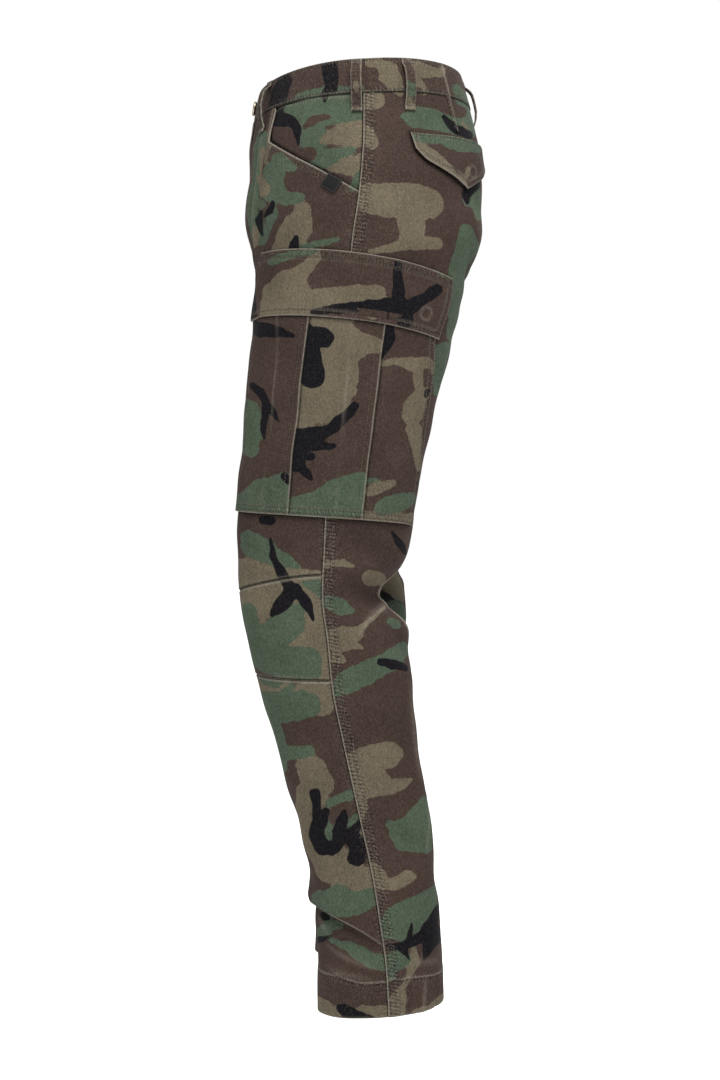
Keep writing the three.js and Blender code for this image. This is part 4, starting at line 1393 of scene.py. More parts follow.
@dataclass
class LegPanel:
    """A front or back leg panel, from the waistband seam or the pocket's edge to the hem."""

    shop: Workshop
    leg: Leg
    part: Part
    stitch_rows: tuple = FELL_STITCH_ROWS
    pocket_stitches: tuple = (2.3, 8.6)
    dart_lines: tuple = (-7, -4.6, -3, -1.9, -1.1, -0.5, 0, 0.5, 1.1, 1.9, 3, 4.6, 7)

    def _lines(self) -> tuple:
        """The grid's rows, and the share across at each row and column.

        Returns:
            The rows' places and the shares across.
        """
        form = self.shop.form
        step = CLOTH_STEP[self.leg]
        lines = spaced(FIRST_ROW, -OUTSEAM, step, EDGE_LINES, (0, 0.3, 0.9, 1.8, 4, 7))
        lines = merged(lines, -OUTSEAM + np.arange(31, 49, 1.2), 1.0)
        if self.part is Part.BACK:
            lines = np.concatenate([FIRST_ROW + np.array((TUCKED, 2.4, 1.2, 0.5)), lines])
            lines = merged(lines, np.arange(-634, -594, 1.6), 1.2)
        if self.part is Part.FRONT:
            for middle in (KNEE_DARTS[0][1], -681):
                lines = merged(lines, middle + np.array(self.dart_lines), 1.4)
            ledge = next(fold for fold in FOLDS if fold.ledge and fold.leg is self.leg)
            lines = merged(lines, ledge.z + np.arange(-17, 22, 1.4), 1.2)
        girth = form.girth(self.part, lines)[:, None]
        seam = np.array(FELL_LINES)
        middle = np.linspace(0, 1, int(form.girths[self.part].max() / step))[1:-1]
        if self.part is Part.FRONT:
            top = form.girth(Part.FRONT, -BAND_HEIGHT)
            start = 1 + SLASH_TOP_ARC / top
            corner = 1 + SLASH_CORNER_ARC / form.girth(Part.FRONT, SLASH_CORNER)
            low, high = seam[-1] / girth[0, 0], 1 - seam[-1] / girth[0, 0]
            kept = (np.linspace(start, corner, 5) - low) / (high - low)
            middle = merged(middle, kept, 0.004)
        low, high = seam[-1] / girth, 1 - seam[-1] / girth
        inner = seam[None, :-1] / girth
        across = [inner, low + (high - low) * np.concatenate([[0], middle, [1]])[None], 1 - inner[:, ::-1]]
        return lines, np.concatenate(across, axis=1)

    def _edges(self, across: Grid) -> tuple:
        """Heights of the panel's top edge and hem at each share across.

        Args:
            across: share of the half's width, 0 at the inner seam and 1 at the side seam.

        Returns:
            The heights of both edges.
        """
        share = np.linspace(0, 1, 700)
        top = self.shop.rows.height(self.part, share, FIRST_ROW + 0 * share)
        hem = self.shop.rows.height(self.part, share, -OUTSEAM + 0 * share)
        return np.interp(across, share, top), np.interp(across, share, hem)

    def hem_line(self, from_side: Grid) -> Grid:
        """How far above the bottom edge the hem is stitched, at each distance from the side seam.

        Args:
            from_side: distance from the side seam.

        Returns:
            The distances.
        """
        if self.part is Part.FRONT:
            return 37.5 + 7.5 * smooth(from_side, 22, 62)
        return 39.5 - 5.5 * smooth(from_side, 15, 80)

    def _relief(self, across: Grid, z: Grid) -> dict:
        """Height of the seams, hem and darts over the panel, how worn they are, and the light and shade painted on
        them.

        Args:
            across: share of the half's width, 0 at the inner seam and 1 at the side seam.
            z: height.

        Returns:
            The relief's grids by name, with the distance from the edge.
        """
        girth = self.shop.form.girth(self.part, z)
        from_side, from_inner = (1 - across) * girth, across * girth
        top, hem = self._edges(across)
        from_top, from_hem = top - z, z - hem
        hem_line = self.hem_line(from_side)
        over = from_hem - hem_line
        out = HEM_EXTRA * (1 - smooth(over, 0.6, 2.2)) - 0.55 * bell(over, 0, 0.8)
        # Painted shade just below the hem's stitching.
        painted_shading = -0.6 * bell(over, -1.4, 1.0)
        seam = bell(over, 0, 5) * 0.6 + 0.14 * (1 - smooth(over, -2, 3))
        worn = 0.85 * edge_wear(from_hem) + 0.6 * bell(over, 0.6, 0.9)
        run = from_side + 0.35 * from_hem
        cloth = Relief(out, painted_shading, seam, worn, run)
        if self.part is Part.BACK:
            self._fell(cloth, across, z, from_side, from_inner, from_top)
        else:
            self._press_under(cloth, across, z, from_side, from_inner, from_top)
            self._stitch_knee(cloth, across, z)
            self._ledge(cloth, across, z)
        arc = from_side * (-1 if self.part is Part.FRONT else 1)
        push, crest = self.shop.form.creases(self.leg, arc, z)
        cloth.rub(crest)
        # Painted light on the creases' crests and painted shade in their troughs, then painted shadows beside the
        # cargo pocket and its flap.
        cloth.painted_shading += 0.08 * push
        cloth.painted_shading -= 1.2 * painted_contact_shadow(arc, z - 0.8, CARGO_BOTTOM, 2.6) + 0.7 * painted_contact_shadow(arc, z, CARGO_SIDES, 1.8)
        cloth.painted_shading -= 0.9 * painted_contact_shadow(arc, z, FLAP_SIDES, 2.4) + 0.4 * painted_contact_shadow(arc, z, FLAP_TOP, 1.6)
        tucked = TUCKED if self.part is Part.BACK else 0
        near = np.minimum.reduce([from_side, from_inner, from_hem, from_top + tucked])
        return {**vars(cloth), "near": near, "worn": np.clip(cloth.worn, 0, 1.2)}

    def _fell(self, cloth: Relief, across: Grid, z: Grid, from_side: Grid, from_inner: Grid, from_top: Grid) -> None:
        """Felled and double-stitched edges of a back panel, with painted shade in their grooves, and painted shadows
        where the waistband and flap lie on it.

        Args:
            cloth: the panel's relief so far.
            across: share of the half's width, 0 at the inner seam and 1 at the side seam.
            z: height.
            from_side: distance from the side seam.
            from_inner: distance from the inner seam.
            from_top: distance below the top edge.
        """
        near_row, far_row = self.stitch_rows
        for d in (from_side, from_inner):
            ridge = FELL_RISE * (1 - smooth(d, 10.8, 12.2)) + 0.45 * bell(d, 1.0, 0.9)
            grooves = 0.5 * (bell(d, near_row, 0.6) + bell(d, far_row, 0.6))
            cloth.out += ridge - grooves
            # Painted shade in the stitch grooves and beside the fell's edge.
            cloth.painted_shading -= 0.55 * bell(d, near_row + 0.3, 0.9) + 0.45 * bell(d, far_row, 0.9)
            cloth.painted_shading -= 0.25 * bell(d, 12.6, 1.2)
            felled = 0.45 + 0.55 * bell(d, 3.2, 2.2) + 0.5 * bell(d, 9, 2.2)
            cloth.pucker(felled * (1 - smooth(d, 11, 13)) + 0.3 * bell(d, 13, 5))
            cloth.rub(1.15 * bell(d, 0.5, 0.8))
            cloth.run = np.where(d < 22, z + 0.2 * d, cloth.run)
        # Painted shade on the right leg's inner side, behind the left knee.
        if self.leg is Leg.RIGHT:
            cloth.painted_shading -= 0.75 * bell(z, -604, 52) * (1 - smooth(across, 0.3, 0.6))
        cloth.out -= 2.6 * smooth(-from_top, -0.6, 0.4)
        # Painted shadow under the waistband's edge, then beside the back flap.
        cloth.painted_shading -= 0.7 * bell(from_top, 0, 1.2)
        cloth.painted_shading -= 1.1 * painted_contact_shadow(from_side, z, back_flap_outline(self.shop.form), 2.6)

    def _press_under(
        self, cloth: Relief, across: Grid, z: Grid, from_side: Grid, from_inner: Grid, from_top: Grid
    ) -> None:
        """Edges of a front panel that lie under the back one, and its slanted pocket edge, with painted shade along
        them.

        Args:
            cloth: the panel's relief so far.
            across: share of the half's width, 0 at the inner seam and 1 at the side seam.
            z: height.
            from_side: distance from the side seam.
            from_inner: distance from the inner seam.
            from_top: distance below the top edge.
        """
        for d in (from_side, from_inner):
            cloth.out -= 0.6 * (1 - smooth(d, 0, 3.2))
            # Painted shade where the edge lies under the back panel.
            cloth.painted_shading -= 0.9 * (1 - smooth(d, 0.4, 1.8))
            cloth.pucker(0.4 * (1 - smooth(d, 2, 11)))
            cloth.run = np.where(d < 14, z + 0.2 * d, cloth.run)
        arc = (across - 1) * self.shop.form.girth(self.part, z)
        pocket = smooth(arc, SLASH_TOP_ARC - 1, SLASH_CORNER_ARC + 1)
        d = from_top
        cloth.out += pocket * (0.5 * bell(d, 1.1, 1.0) - 0.4 * (bell(d, 2.3, 0.6) + bell(d, 8.6, 0.6)))
        # Painted shade in the pocket edge's stitch grooves.
        cloth.painted_shading -= pocket * (0.5 * bell(d, 2.6, 0.8) + 0.4 * bell(d, 8.6, 0.8))
        upright = (1 - smooth(arc, SLASH_CORNER_ARC + 1, SLASH_CORNER_ARC + 4)) * pocket
        cloth.pucker(pocket * 0.55 * (1 - smooth(d, 8, 12)))
        cloth.rub(pocket * edge_wear(d * 0.8) * 1.3)
        upright = upright * smooth(z, SLASH_CORNER - 4, SLASH_CORNER + 1)
        cloth.rub(upright * bell(arc, SLASH_CORNER_ARC - 2, 1.6))

    def _stitch_knee(self, cloth: Relief, across: Grid, z: Grid) -> None:
        """The two darts that shape the knee.

        Args:
            cloth: the panel's relief so far.
            across: share of the half's width, 0 at the inner seam and 1 at the side seam.
            z: height.
        """
        reach = smooth(across, 0.4, 0.58)
        for side, front in KNEE_DARTS:
            above = z - (front + (side - front) * smooth(across, 0.45, 1))
            pinch = -1.6 * bell(above, 0, 1.1) + 0.7 * bell(above, 2.6, 1.6) + 0.4 * bell(above, -2.6, 1.5)
            cloth.out += reach * (pinch - 0.5 * bell(above, 0, 7))
            # Painted shade in the dart's fold.
            cloth.painted_shading -= reach * 1.4 * bell(above, 0.3, 1.3)
            cloth.rub(reach * (0.8 * bell(above, -1.9, 0.9) + 0.2 * bell(above, 2.8, 0.9)))
            cloth.pucker(reach * 0.4 * bell(above, 1, 5))

    def _ledge(self, cloth: Relief, across: Grid, z: Grid) -> None:
        """The sharp lower edge of the folds that hang over the hem.

        Args:
            cloth: the panel's relief so far.
            across: share of the half's width, 0 at the inner seam and 1 at the side seam.
            z: height.
        """
        for fold in FOLDS:
            if fold.ledge and fold.leg is self.leg:
                above = z - fold.line(across)
                wide = np.exp(-(((across - fold.across) / fold.half_width) ** 4))
                cloth.rub(1.2 * wide * bell(above, 1.6, 1.5))
                cloth.out += wide * (1.6 * bell(above, 2.6, 2.4) - 1.6 * bell(above, -3.5, 3.5))
                # Painted shadow beneath the fold's lower edge.
                cloth.painted_shading -= 1.0 * wide * bell(above, -1.6, 1.6) + 0.35 * wide * bell(above, -7, 5)

    def _surface(self, across: Grid, z: Grid, lift: float = 0.0) -> tuple:
        """Points and normals of the outer face at any place on the panel."""
        relief = self._relief(across, z)
        return self.shop.form.shell(self.leg, self.part, across, z, relief["out"] + lift)

    def build(self) -> bpy.types.Object:
        """The panel's mesh, dressed, with its rows of stitches.

        Returns:
            The object.
        """
        lines, across = self._lines()
        row = lines[:, None] + 0 * across
        z = self.shop.rows.height(self.part, across, row)
        relief = self._relief(across, z)
        edge = rounded(relief["near"], TWILL / 2)
        form = self.shop.form
        outer, normals = form.shell(self.leg, self.part, across, z, relief["out"] - edge)
        inner, _ = form.shell(self.leg, self.part, across, z, edge * 0.9 - TWILL)
        way = 1 if self.part is Part.FRONT else -1
        chart = Chart.over(outer, normals, across.shape[1] - 1, self.leg, way)
        strokes = FRONT_PRINT if self.part is Part.FRONT else BACK_PRINT
        ink = self.shop.dyes.cover(strokes, chart, self.leg)
        if self.leg is Leg.RIGHT:
            ink = self.shop.dyes.between_legs(outer, normals, ink)
        name = f"{self.part.value}_{self.leg.value}"
        marks = (relief[key] for key in ("worn", "seam", "painted_shading", "run"))
        wall = Wall(name, outer, inner, normals, ink, *marks)
        self._sew()
        flat = (form.girths[self.part].max(), OUTSEAM - BAND_HEIGHT)
        return self.shop.dress(wall, name, flat, (f"waistband_{self.leg.value}",))

    def _sew(self) -> None:
        """The panel's rows of stitches: felled seams, hem, pocket edge and knee darts."""
        region = f"stitching_{self.leg.value}"
        sewing, form = self.shop.sewing, self.shop.form
        share = np.linspace(0.03, 0.97, 200)
        _, hem = self._edges(share)
        girth = form.girth(self.part, hem)
        sewing.run(region, *self._surface(share, hem + self.hem_line((1 - share) * girth)))
        if self.part is Part.BACK:
            z = np.linspace(-BAND_HEIGHT - 4, -OUTSEAM + 4, 620)
            for distance in self.stitch_rows:
                girth = form.girth(Part.BACK, z)
                sewing.run(region, *self._surface(1 - distance / girth, z))
                sewing.run(region, *self._surface(distance / girth, z + WAIST_RISE[Part.BACK]))
            return
        share = np.linspace(1 + (SLASH_CORNER_ARC + 1) / form.girth(Part.FRONT, SLASH_CORNER), 0.995, 120)
        top, _ = self._edges(share)
        for distance in self.pocket_stitches:
            sewing.run(region, *self._surface(share, top - distance))
        share = np.linspace(0.56, 0.99, 90)
        for side, front in KNEE_DARTS:
            line = front + (side - front) * smooth(share, 0.45, 1)
            sewing.run(region, *self._surface(share, line + 2.6))


@dataclass
class HipPatch:
    """The facing that shows above the slanted pocket opening."""

    shop: Workshop
    leg: Leg
    front_arc: float = -141
    side_arc: float = 4.0
    side_inset: float = 2.3
    tucked: float = TUCKED

    def build(self) -> bpy.types.Object:
        """The patch's mesh, dressed.

        Returns:
            The object.
        """
        form = self.shop.form
        lines = (0, 0.8, 2.4, 4.0, 4.15, 4.4, 4.8, 5.4, 6.5)
        arc = spaced(self.front_arc, self.side_arc, 3, EDGE_LINES, lines)[None, :]
        rise = waist_rise(Part.FRONT, 1 + arc / form.girth(Part.FRONT, -BAND_HEIGHT))
        top = FIRST_ROW + rise + self.tucked
        slope = (SLASH_SIDE - SLASH_CORNER) / -SLASH_CORNER_ARC
        bottom = SLASH_CORNER + (arc - SLASH_CORNER_ARC) * slope - SLASH_UNDER
        share = spaced(0, 1, 0.04, (0, 0.01, 0.03), (0, 0.01, 0.03))[:, None]
        z = top + (bottom - top) * share
        arc = arc + 0 * z
        clear = np.minimum(z - slash_line(arc), arc - SLASH_TOP_ARC)
        inset = SLASH_INSET * (1 - smooth(clear, 0, SLASH_EASE))
        above = z - top + self.tucked
        inset = np.maximum(inset, 2.4 * smooth(above, -1.2, 0.2))
        inset = np.maximum(inset, self.side_inset * smooth(arc, -1.4, -0.1))
        pucker = -0.5 * (1 - smooth(-arc, 0, 3))
        over = z - slash_line(arc)
        # Painted shadow under the slanted pocket's edge, along the side seam, under the waistband and beside the
        # front belt loop.
        painted_shading = -1.25 * bell(over, 0.6, 2.6) - 0.9 * (1 - smooth(-arc, 0.4, 1.8)) - 0.5 * bell(above, 0, 1.2)
        painted_shading -= 1.1 * bell(arc, SLASH_TOP_ARC + 5.6, 2.2) * smooth(z, SLASH_CORNER - 2, SLASH_CORNER + 2)
        edge = rounded(np.minimum(arc - self.front_arc, self.side_arc - arc), TWILL / 2)
        outer, normals = form.by_arc(self.leg, arc, z, pucker - inset - edge)
        inner, _ = form.by_arc(self.leg, arc, z, -inset - TWILL + edge)
        chart = Chart.over(outer, normals, arc.shape[1] - len(lines) // 2, self.leg)
        ink = self.shop.dyes.cover(FRONT_PRINT, chart, self.leg)
        seam = np.maximum(bell(above, 0, 6) * 0.6, 0.35 * (1 - smooth(-arc, 2, 10)))
        worn = 0.25 * bell(above, -2.5, 1.6)
        name = f"hip_patch_{self.leg.value}"
        run = np.where(arc > -9, z, arc)
        wall = Wall(name, outer, inner, normals, ink, worn, seam, painted_shading, run)
        flat = (abs(self.front_arc), SLASH_UNDER - SLASH_SIDE - BAND_HEIGHT + self.tucked)
        return self.shop.dress(wall, name, flat, (f"waistband_{self.leg.value}",))


@dataclass
class Waistband:
    """Half of the waistband, from the centre front round to the centre back."""

    shop: Workshop
    leg: Leg
    stitch_inset: float = 2.4
    step: float = 2.0
    dart_arc: float = 101
    dart_lean: float = 0.2

    def _stations(self) -> list:
        """Runs of columns: leg, half, shares across and how far each stands off the form.

        Returns:
            The runs, in order.
        """
        form = self.shop.form
        front, back = form.girth(Part.FRONT, 0), form.girth(Part.BACK, 0)
        shares = np.linspace(0, 1, int(front / self.step))
        runs = []
        if self.leg is Leg.RIGHT:
            lap = spaced(UNDERLAP, 1, self.step, EDGE_LINES) / front
            ramp = np.linspace(1, UNDERLAP_RAMP, 6) / front
            out = BAND_PROUD + UNDERLAP_INSET
            lift = -UNDERLAP_INSET + out * smooth(ramp * front, 1, UNDERLAP_RAMP)
            runs.append((Leg.LEFT, Part.FRONT, lap, np.full(len(lap), -UNDERLAP_INSET)))
            runs.append((Leg.RIGHT, Part.FRONT, ramp, lift))
            shares = shares[shares * front > UNDERLAP_RAMP + 1]
        runs.append((self.leg, Part.FRONT, shares, np.full(len(shares), BAND_PROUD)))
        shares = np.linspace(1, 0, int(back / self.step))[1:]
        runs.append((self.leg, Part.BACK, shares, np.full(len(shares), BAND_PROUD)))
        return runs

    def build(self) -> bpy.types.Object:
        """The band's mesh, dressed, with its two rows of stitches.

        Returns:
            The object.
        """
        form = self.shop.form
        lines = (0, 0.35, 0.9, 1.6, 2.4, 3.2, 4.4)
        rows = spaced(BAND_TOP, -BAND_HEIGHT, self.step, lines, lines)[:, None]
        deep = np.minimum(BAND_TOP - rows, rows + BAND_HEIGHT)
        round_edge = rounded(deep, 1.5)
        groove = 0.45 * bell(deep, self.stitch_inset, 0.7)
        parts = {"outer": [], "inner": [], "normals": [], "run": [], "fold": []}
        start = -1
        length = 0.0
        for leg, part, share, out in self._stations():
            z = rows + waist_rise(part, share)[None, :]
            run = length + np.abs(share - share[0]) * form.girth(part, 0)
            length = run[-1]
            wave = 0.5 * np.sin(run / 17 + 1.3)[None, :] * bell(rows, -24, 12)
            fold = 0 * z
            if part is Part.BACK:
                arc = (1 - share[None]) * form.girth(Part.BACK, z)
                fold = bell(arc, self.dart_arc - self.dart_lean * rows, 1.1)
            raised = out - round_edge - groove + wave + 0.7 * fold
            outer, normals = form.shell(leg, part, share[None], z, raised)
            inner, _ = form.shell(leg, part, share[None], z, out - BAND_THICK + round_edge)
            for key, grid in zip(parts, (outer, inner, normals, run[None] + 0 * z, fold)):
                parts[key].append(grid)
            if part is Part.FRONT:
                start += len(share)
        outer, inner, normals, run, fold = (np.concatenate(parts[key], axis=1) for key in parts)
        chart = Chart.over(outer, normals, start, self.leg)
        front = self.shop.dyes.cover(FRONT_PRINT, chart, self.leg)
        back = self.shop.dyes.cover(BACK_PRINT, chart, self.leg)
        ink = np.where((np.arange(outer.shape[1]) <= start)[None, :, None], front, back)
        worn = 0.6 * bell(rows, BAND_TOP - 0.4, 0.9) + 0.25 * bell(-rows, BAND_HEIGHT - 1, 1.0)
        worn = np.maximum(worn, 1.15 * fold)
        seam = 0.55 * bell(deep, 3.2, 4.0) + 0.16
        # Painted shade in the stitch grooves and along the band's lower seam.
        painted_shading = -0.55 * bell(deep, self.stitch_inset, 0.8) - 1.0 * bell(rows, -BAND_HEIGHT, 1.3)
        run = run + 0.4 * rows
        name = f"waistband_{self.leg.value}"
        wall = Wall(name, outer, inner, normals, ink, worn, seam, painted_shading, run)
        for row in (4, len(rows) - 5):
            self.shop.sew("stitching_waist", wall, 3, -2, row=row)
        return self.shop.dress(wall, name, (length + 1, BAND_HEIGHT + BAND_TOP))


@dataclass
class BeltLoop:
    """A folded strip sewn down above and below the waistband."""

    shop: Workshop
    name: str
    leg: Leg
    arc: float
    lean: float = 0.0
    lift: float = 0.0
    extra: float = 0.0
    stitch_inset: float = 2.2

    BOW = Columns(
        "share gap",
        [(0, 0.6), (0.1, 0.7), (0.18, 4.4), (0.29, 7.2), (0.45, 7.6), (0.6, 7.3), (0.74, 5.6)]
        + [(0.84, 2.6), (0.91, 0.7), (1, 0.7)],
    )

    def build(self) -> bpy.types.Object:
        """The loop's mesh, dressed, with its stitches and bar tacks.

        Returns:
            The object.
        """
        form = self.shop.form
        length = LOOP_LENGTH + self.extra
        lines = (0, 0.006, 0.016, 0.03)
        share = spaced(0, 1, 0.022, lines, lines)
        centred = not math.isfinite(self.arc)
        part = Part.BACK if centred or self.arc > 0 else Part.FRONT
        height = LOOP_TOP - share * length
        across = 0 * share
        if not centred:
            across = 1 - np.abs(self.arc + self.lean * share) / form.girth(part, height)
        on_band = np.where(height > -BAND_HEIGHT, BAND_PROUD, self.lift)
        out = on_band + self.BOW.at("gap", share) + LOOP_THICK
        z = height + waist_rise(part, across)
        middle, normals = form.shell(self.leg, part, across, z, out)
        if centred:
            middle[:, 0] = 0
            normals = np.zeros_like(normals) + np.array([0, 1, 0])
        normals = unit(normals * np.array([1, 1, 0]))
        aside = np.stack([-normals[:, 1], normals[:, 0], 0 * share], axis=1)
        width = spaced(-LOOP_WIDTH / 2, LOOP_WIDTH / 2, 1.1, (0, 0.3, 0.8, 1.5, 2.2), (0, 0.3, 0.8, 1.5, 2.2))
        from_edge = LOOP_WIDTH / 2 - np.abs(width)[None, :]
        from_end = np.minimum(share, 1 - share)[:, None] * length
        edge = rounded(np.minimum(from_edge, from_end), LOOP_THICK / 2)
        groove = 0.4 * bell(from_edge, self.stitch_inset, 0.6) * smooth(from_end, 3, 6)
        tack = 0.5 * (1 - smooth(from_end, 4.5, 6.5)) + 0.2 * np.sin(share[:, None] * length / 1.2)
        facing = normals[:, None, :]
        centre = middle[:, None, :] + aside[:, None, :] * width[None, :, None]
        outer = centre - facing * (edge + groove + 0.25 * tack)[..., None]
        inner = centre - facing * (LOOP_THICK - edge)[..., None]
        side = facing + 0 * outer
        chart = Chart.over(outer, side, len(width) // 2, self.leg)
        kind = self.name.rsplit("_", 1)[0] if self.name.endswith(("left", "right")) else self.name
        strokes = LOOP_PRINT[kind]
        if self.leg is Leg.RIGHT or centred:
            ink = self.shop.dyes.repeat(chart.u, chart.v, True)
        else:
            ink = self.shop.dyes.paint(strokes, chart.u, chart.v)
        worn = 0.75 * bell(from_edge, 0, 1) + 0.3 * (1 - smooth(from_end, 3, 6))
        seam = 0.35 + 0.4 * (1 - smooth(from_end, 5, 8))
        node = f"belt_loop_{self.name}"
        run = share[:, None] * length
        # Painted shade in the stitch grooves.
        painted_shading = -0.5 * bell(from_edge, self.stitch_inset, 0.7)
        wall = Wall(node, outer, inner, side, ink, np.clip(worn, 0, 1), seam, painted_shading, run)
        for column in (4, len(width) - 5):
            self.shop.sew("stitching_waist", wall, 4, -4, column=column)
        for row in (3, 5, len(share) - 6, len(share) - 4):
            self.shop.sew("stitching_waist", wall, 1, -1, row=row)
        return self.shop.dress(wall, node, (LOOP_WIDTH, length + 12), (f"waistband_{self.leg.value}",))


@dataclass(frozen=True)
class Patch:
    """A four-sided patch of cloth on the garment, by its corners' arcs and heights."""

    top_front: tuple
    top_back: tuple
    low_front: tuple
    low_back: tuple

    def at(self, p: Grid, q: Grid) -> tuple:
        """Arc and height at p along the patch and q down it.

        Args:
            p: share across the piece.
            q: share down the piece.

        Returns:
            The arcs and the heights.
        """
        found = []
        for k in (0, 1):
            top = self.top_front[k] + (self.top_back[k] - self.top_front[k]) * p
            low = self.low_front[k] + (self.low_back[k] - self.low_front[k]) * p
            found.append(top + (low - top) * q)
        return tuple(found)

    def size(self) -> tuple:
        """Width and height, at their largest."""
        width = max(self.top_back[0] - self.top_front[0], self.low_back[0] - self.low_front[0])
        return width, max(self.top_front[1] - self.low_front[1], self.top_back[1] - self.low_back[1])


CARGO = Patch((-146, -272), (109, -294), (-132, -497), (117, -513))
CARGO_FLAP = Patch((-115, -210.5), (127, -240), (-149, -283), (115, -308.5))
CARGO_ARCH = 7
CARGO_TUCK = 24
PLEAT_LEAN = 0.058
FLAP_ARCH = 6.6


def cargo_at(p: Grid, q: Grid) -> tuple:
    """Arc and height at p across the cargo pocket and q down it, its pleats leaning forward.

    Args:
        p: share across the piece.
        q: share down the piece.

    Returns:
        The arcs and the heights.
    """
    lean = PLEAT_LEAN * (0.5 - q) * smooth(np.minimum(p, 1 - p), 0, 0.25)
    arc, z = CARGO.at(p + lean, q)
    arc = arc + CARGO_TUCK * np.sin(math.pi * q) * (1 - smooth(p, 0, 0.38))
    return arc, z + CARGO_ARCH * np.sin(math.pi * p) * (1 - q)


def cargo_flap_at(p: Grid, q: Grid) -> tuple:
    """Arc and height at p along the cargo flap and q down it."""
    arc, z = CARGO_FLAP.at(p, q)
    return arc, z + FLAP_ARCH * np.sin(math.pi * p)


def back_flap_outline(form: GarmentForm) -> tuple:
    """Arcs and heights down the back flap's front edge and along its low edge.

    Args:
        form: the garment's form.

    Returns:
        The arcs and the heights.
    """
    p, depth = BackFlap.DEPTH.data.T
    arc = BACK_FLAP_FRONT + (BACK_FLAP_BACK - BACK_FLAP_FRONT) * p + BACK_FLAP_SLANT * (1 - smooth(p, 0, 0.14))
    top = BACK_FLAP_TOP + waist_rise(Part.BACK, 1 - arc / form.girth(Part.BACK, BACK_FLAP_TOP))
    low = list(zip(arc, top - depth))
    return ((BACK_FLAP_FRONT, top[0]), *low, (BACK_FLAP_BACK, top[-1]))


ALONG = np.linspace(0, 1, 40)
CARGO_BOTTOM = tuple(zip(*cargo_at(ALONG, 1 + 0 * ALONG)))
CARGO_SIDES = (*zip(*cargo_at(0 * ALONG, ALONG)), None, *zip(*cargo_at(1 + 0 * ALONG, ALONG)))
FLAP_TOP = tuple(zip(*cargo_flap_at(ALONG, 0 * ALONG)))
FLAP_SIDES = (*zip(*cargo_flap_at(0 * ALONG, ALONG)), None, *zip(*cargo_flap_at(1 + 0 * ALONG, ALONG)))


def painted_contact_shadow(arc: Grid, z: Grid, outline: tuple, reach: float) -> Grid:
    """The painted shadow that a piece lying on the cloth casts just beside the piece's outline.

    Args:
        arc: distance round the cloth from the side seam, forward negative.
        z: height.
        outline: the arcs and heights of the outline's corners, None where it breaks off.
        reach: how far the painted shadow spreads.

    Returns:
        1 on the outline, falling to 0 away from it.
    """
    nearest = np.full(np.shape(arc), 1e3)
    for start, end in zip(outline, outline[1:]):
        if start and end:
            nearest = np.minimum(nearest, off_line(arc, z, start, end)[0])
    return bell(nearest, 0, reach)


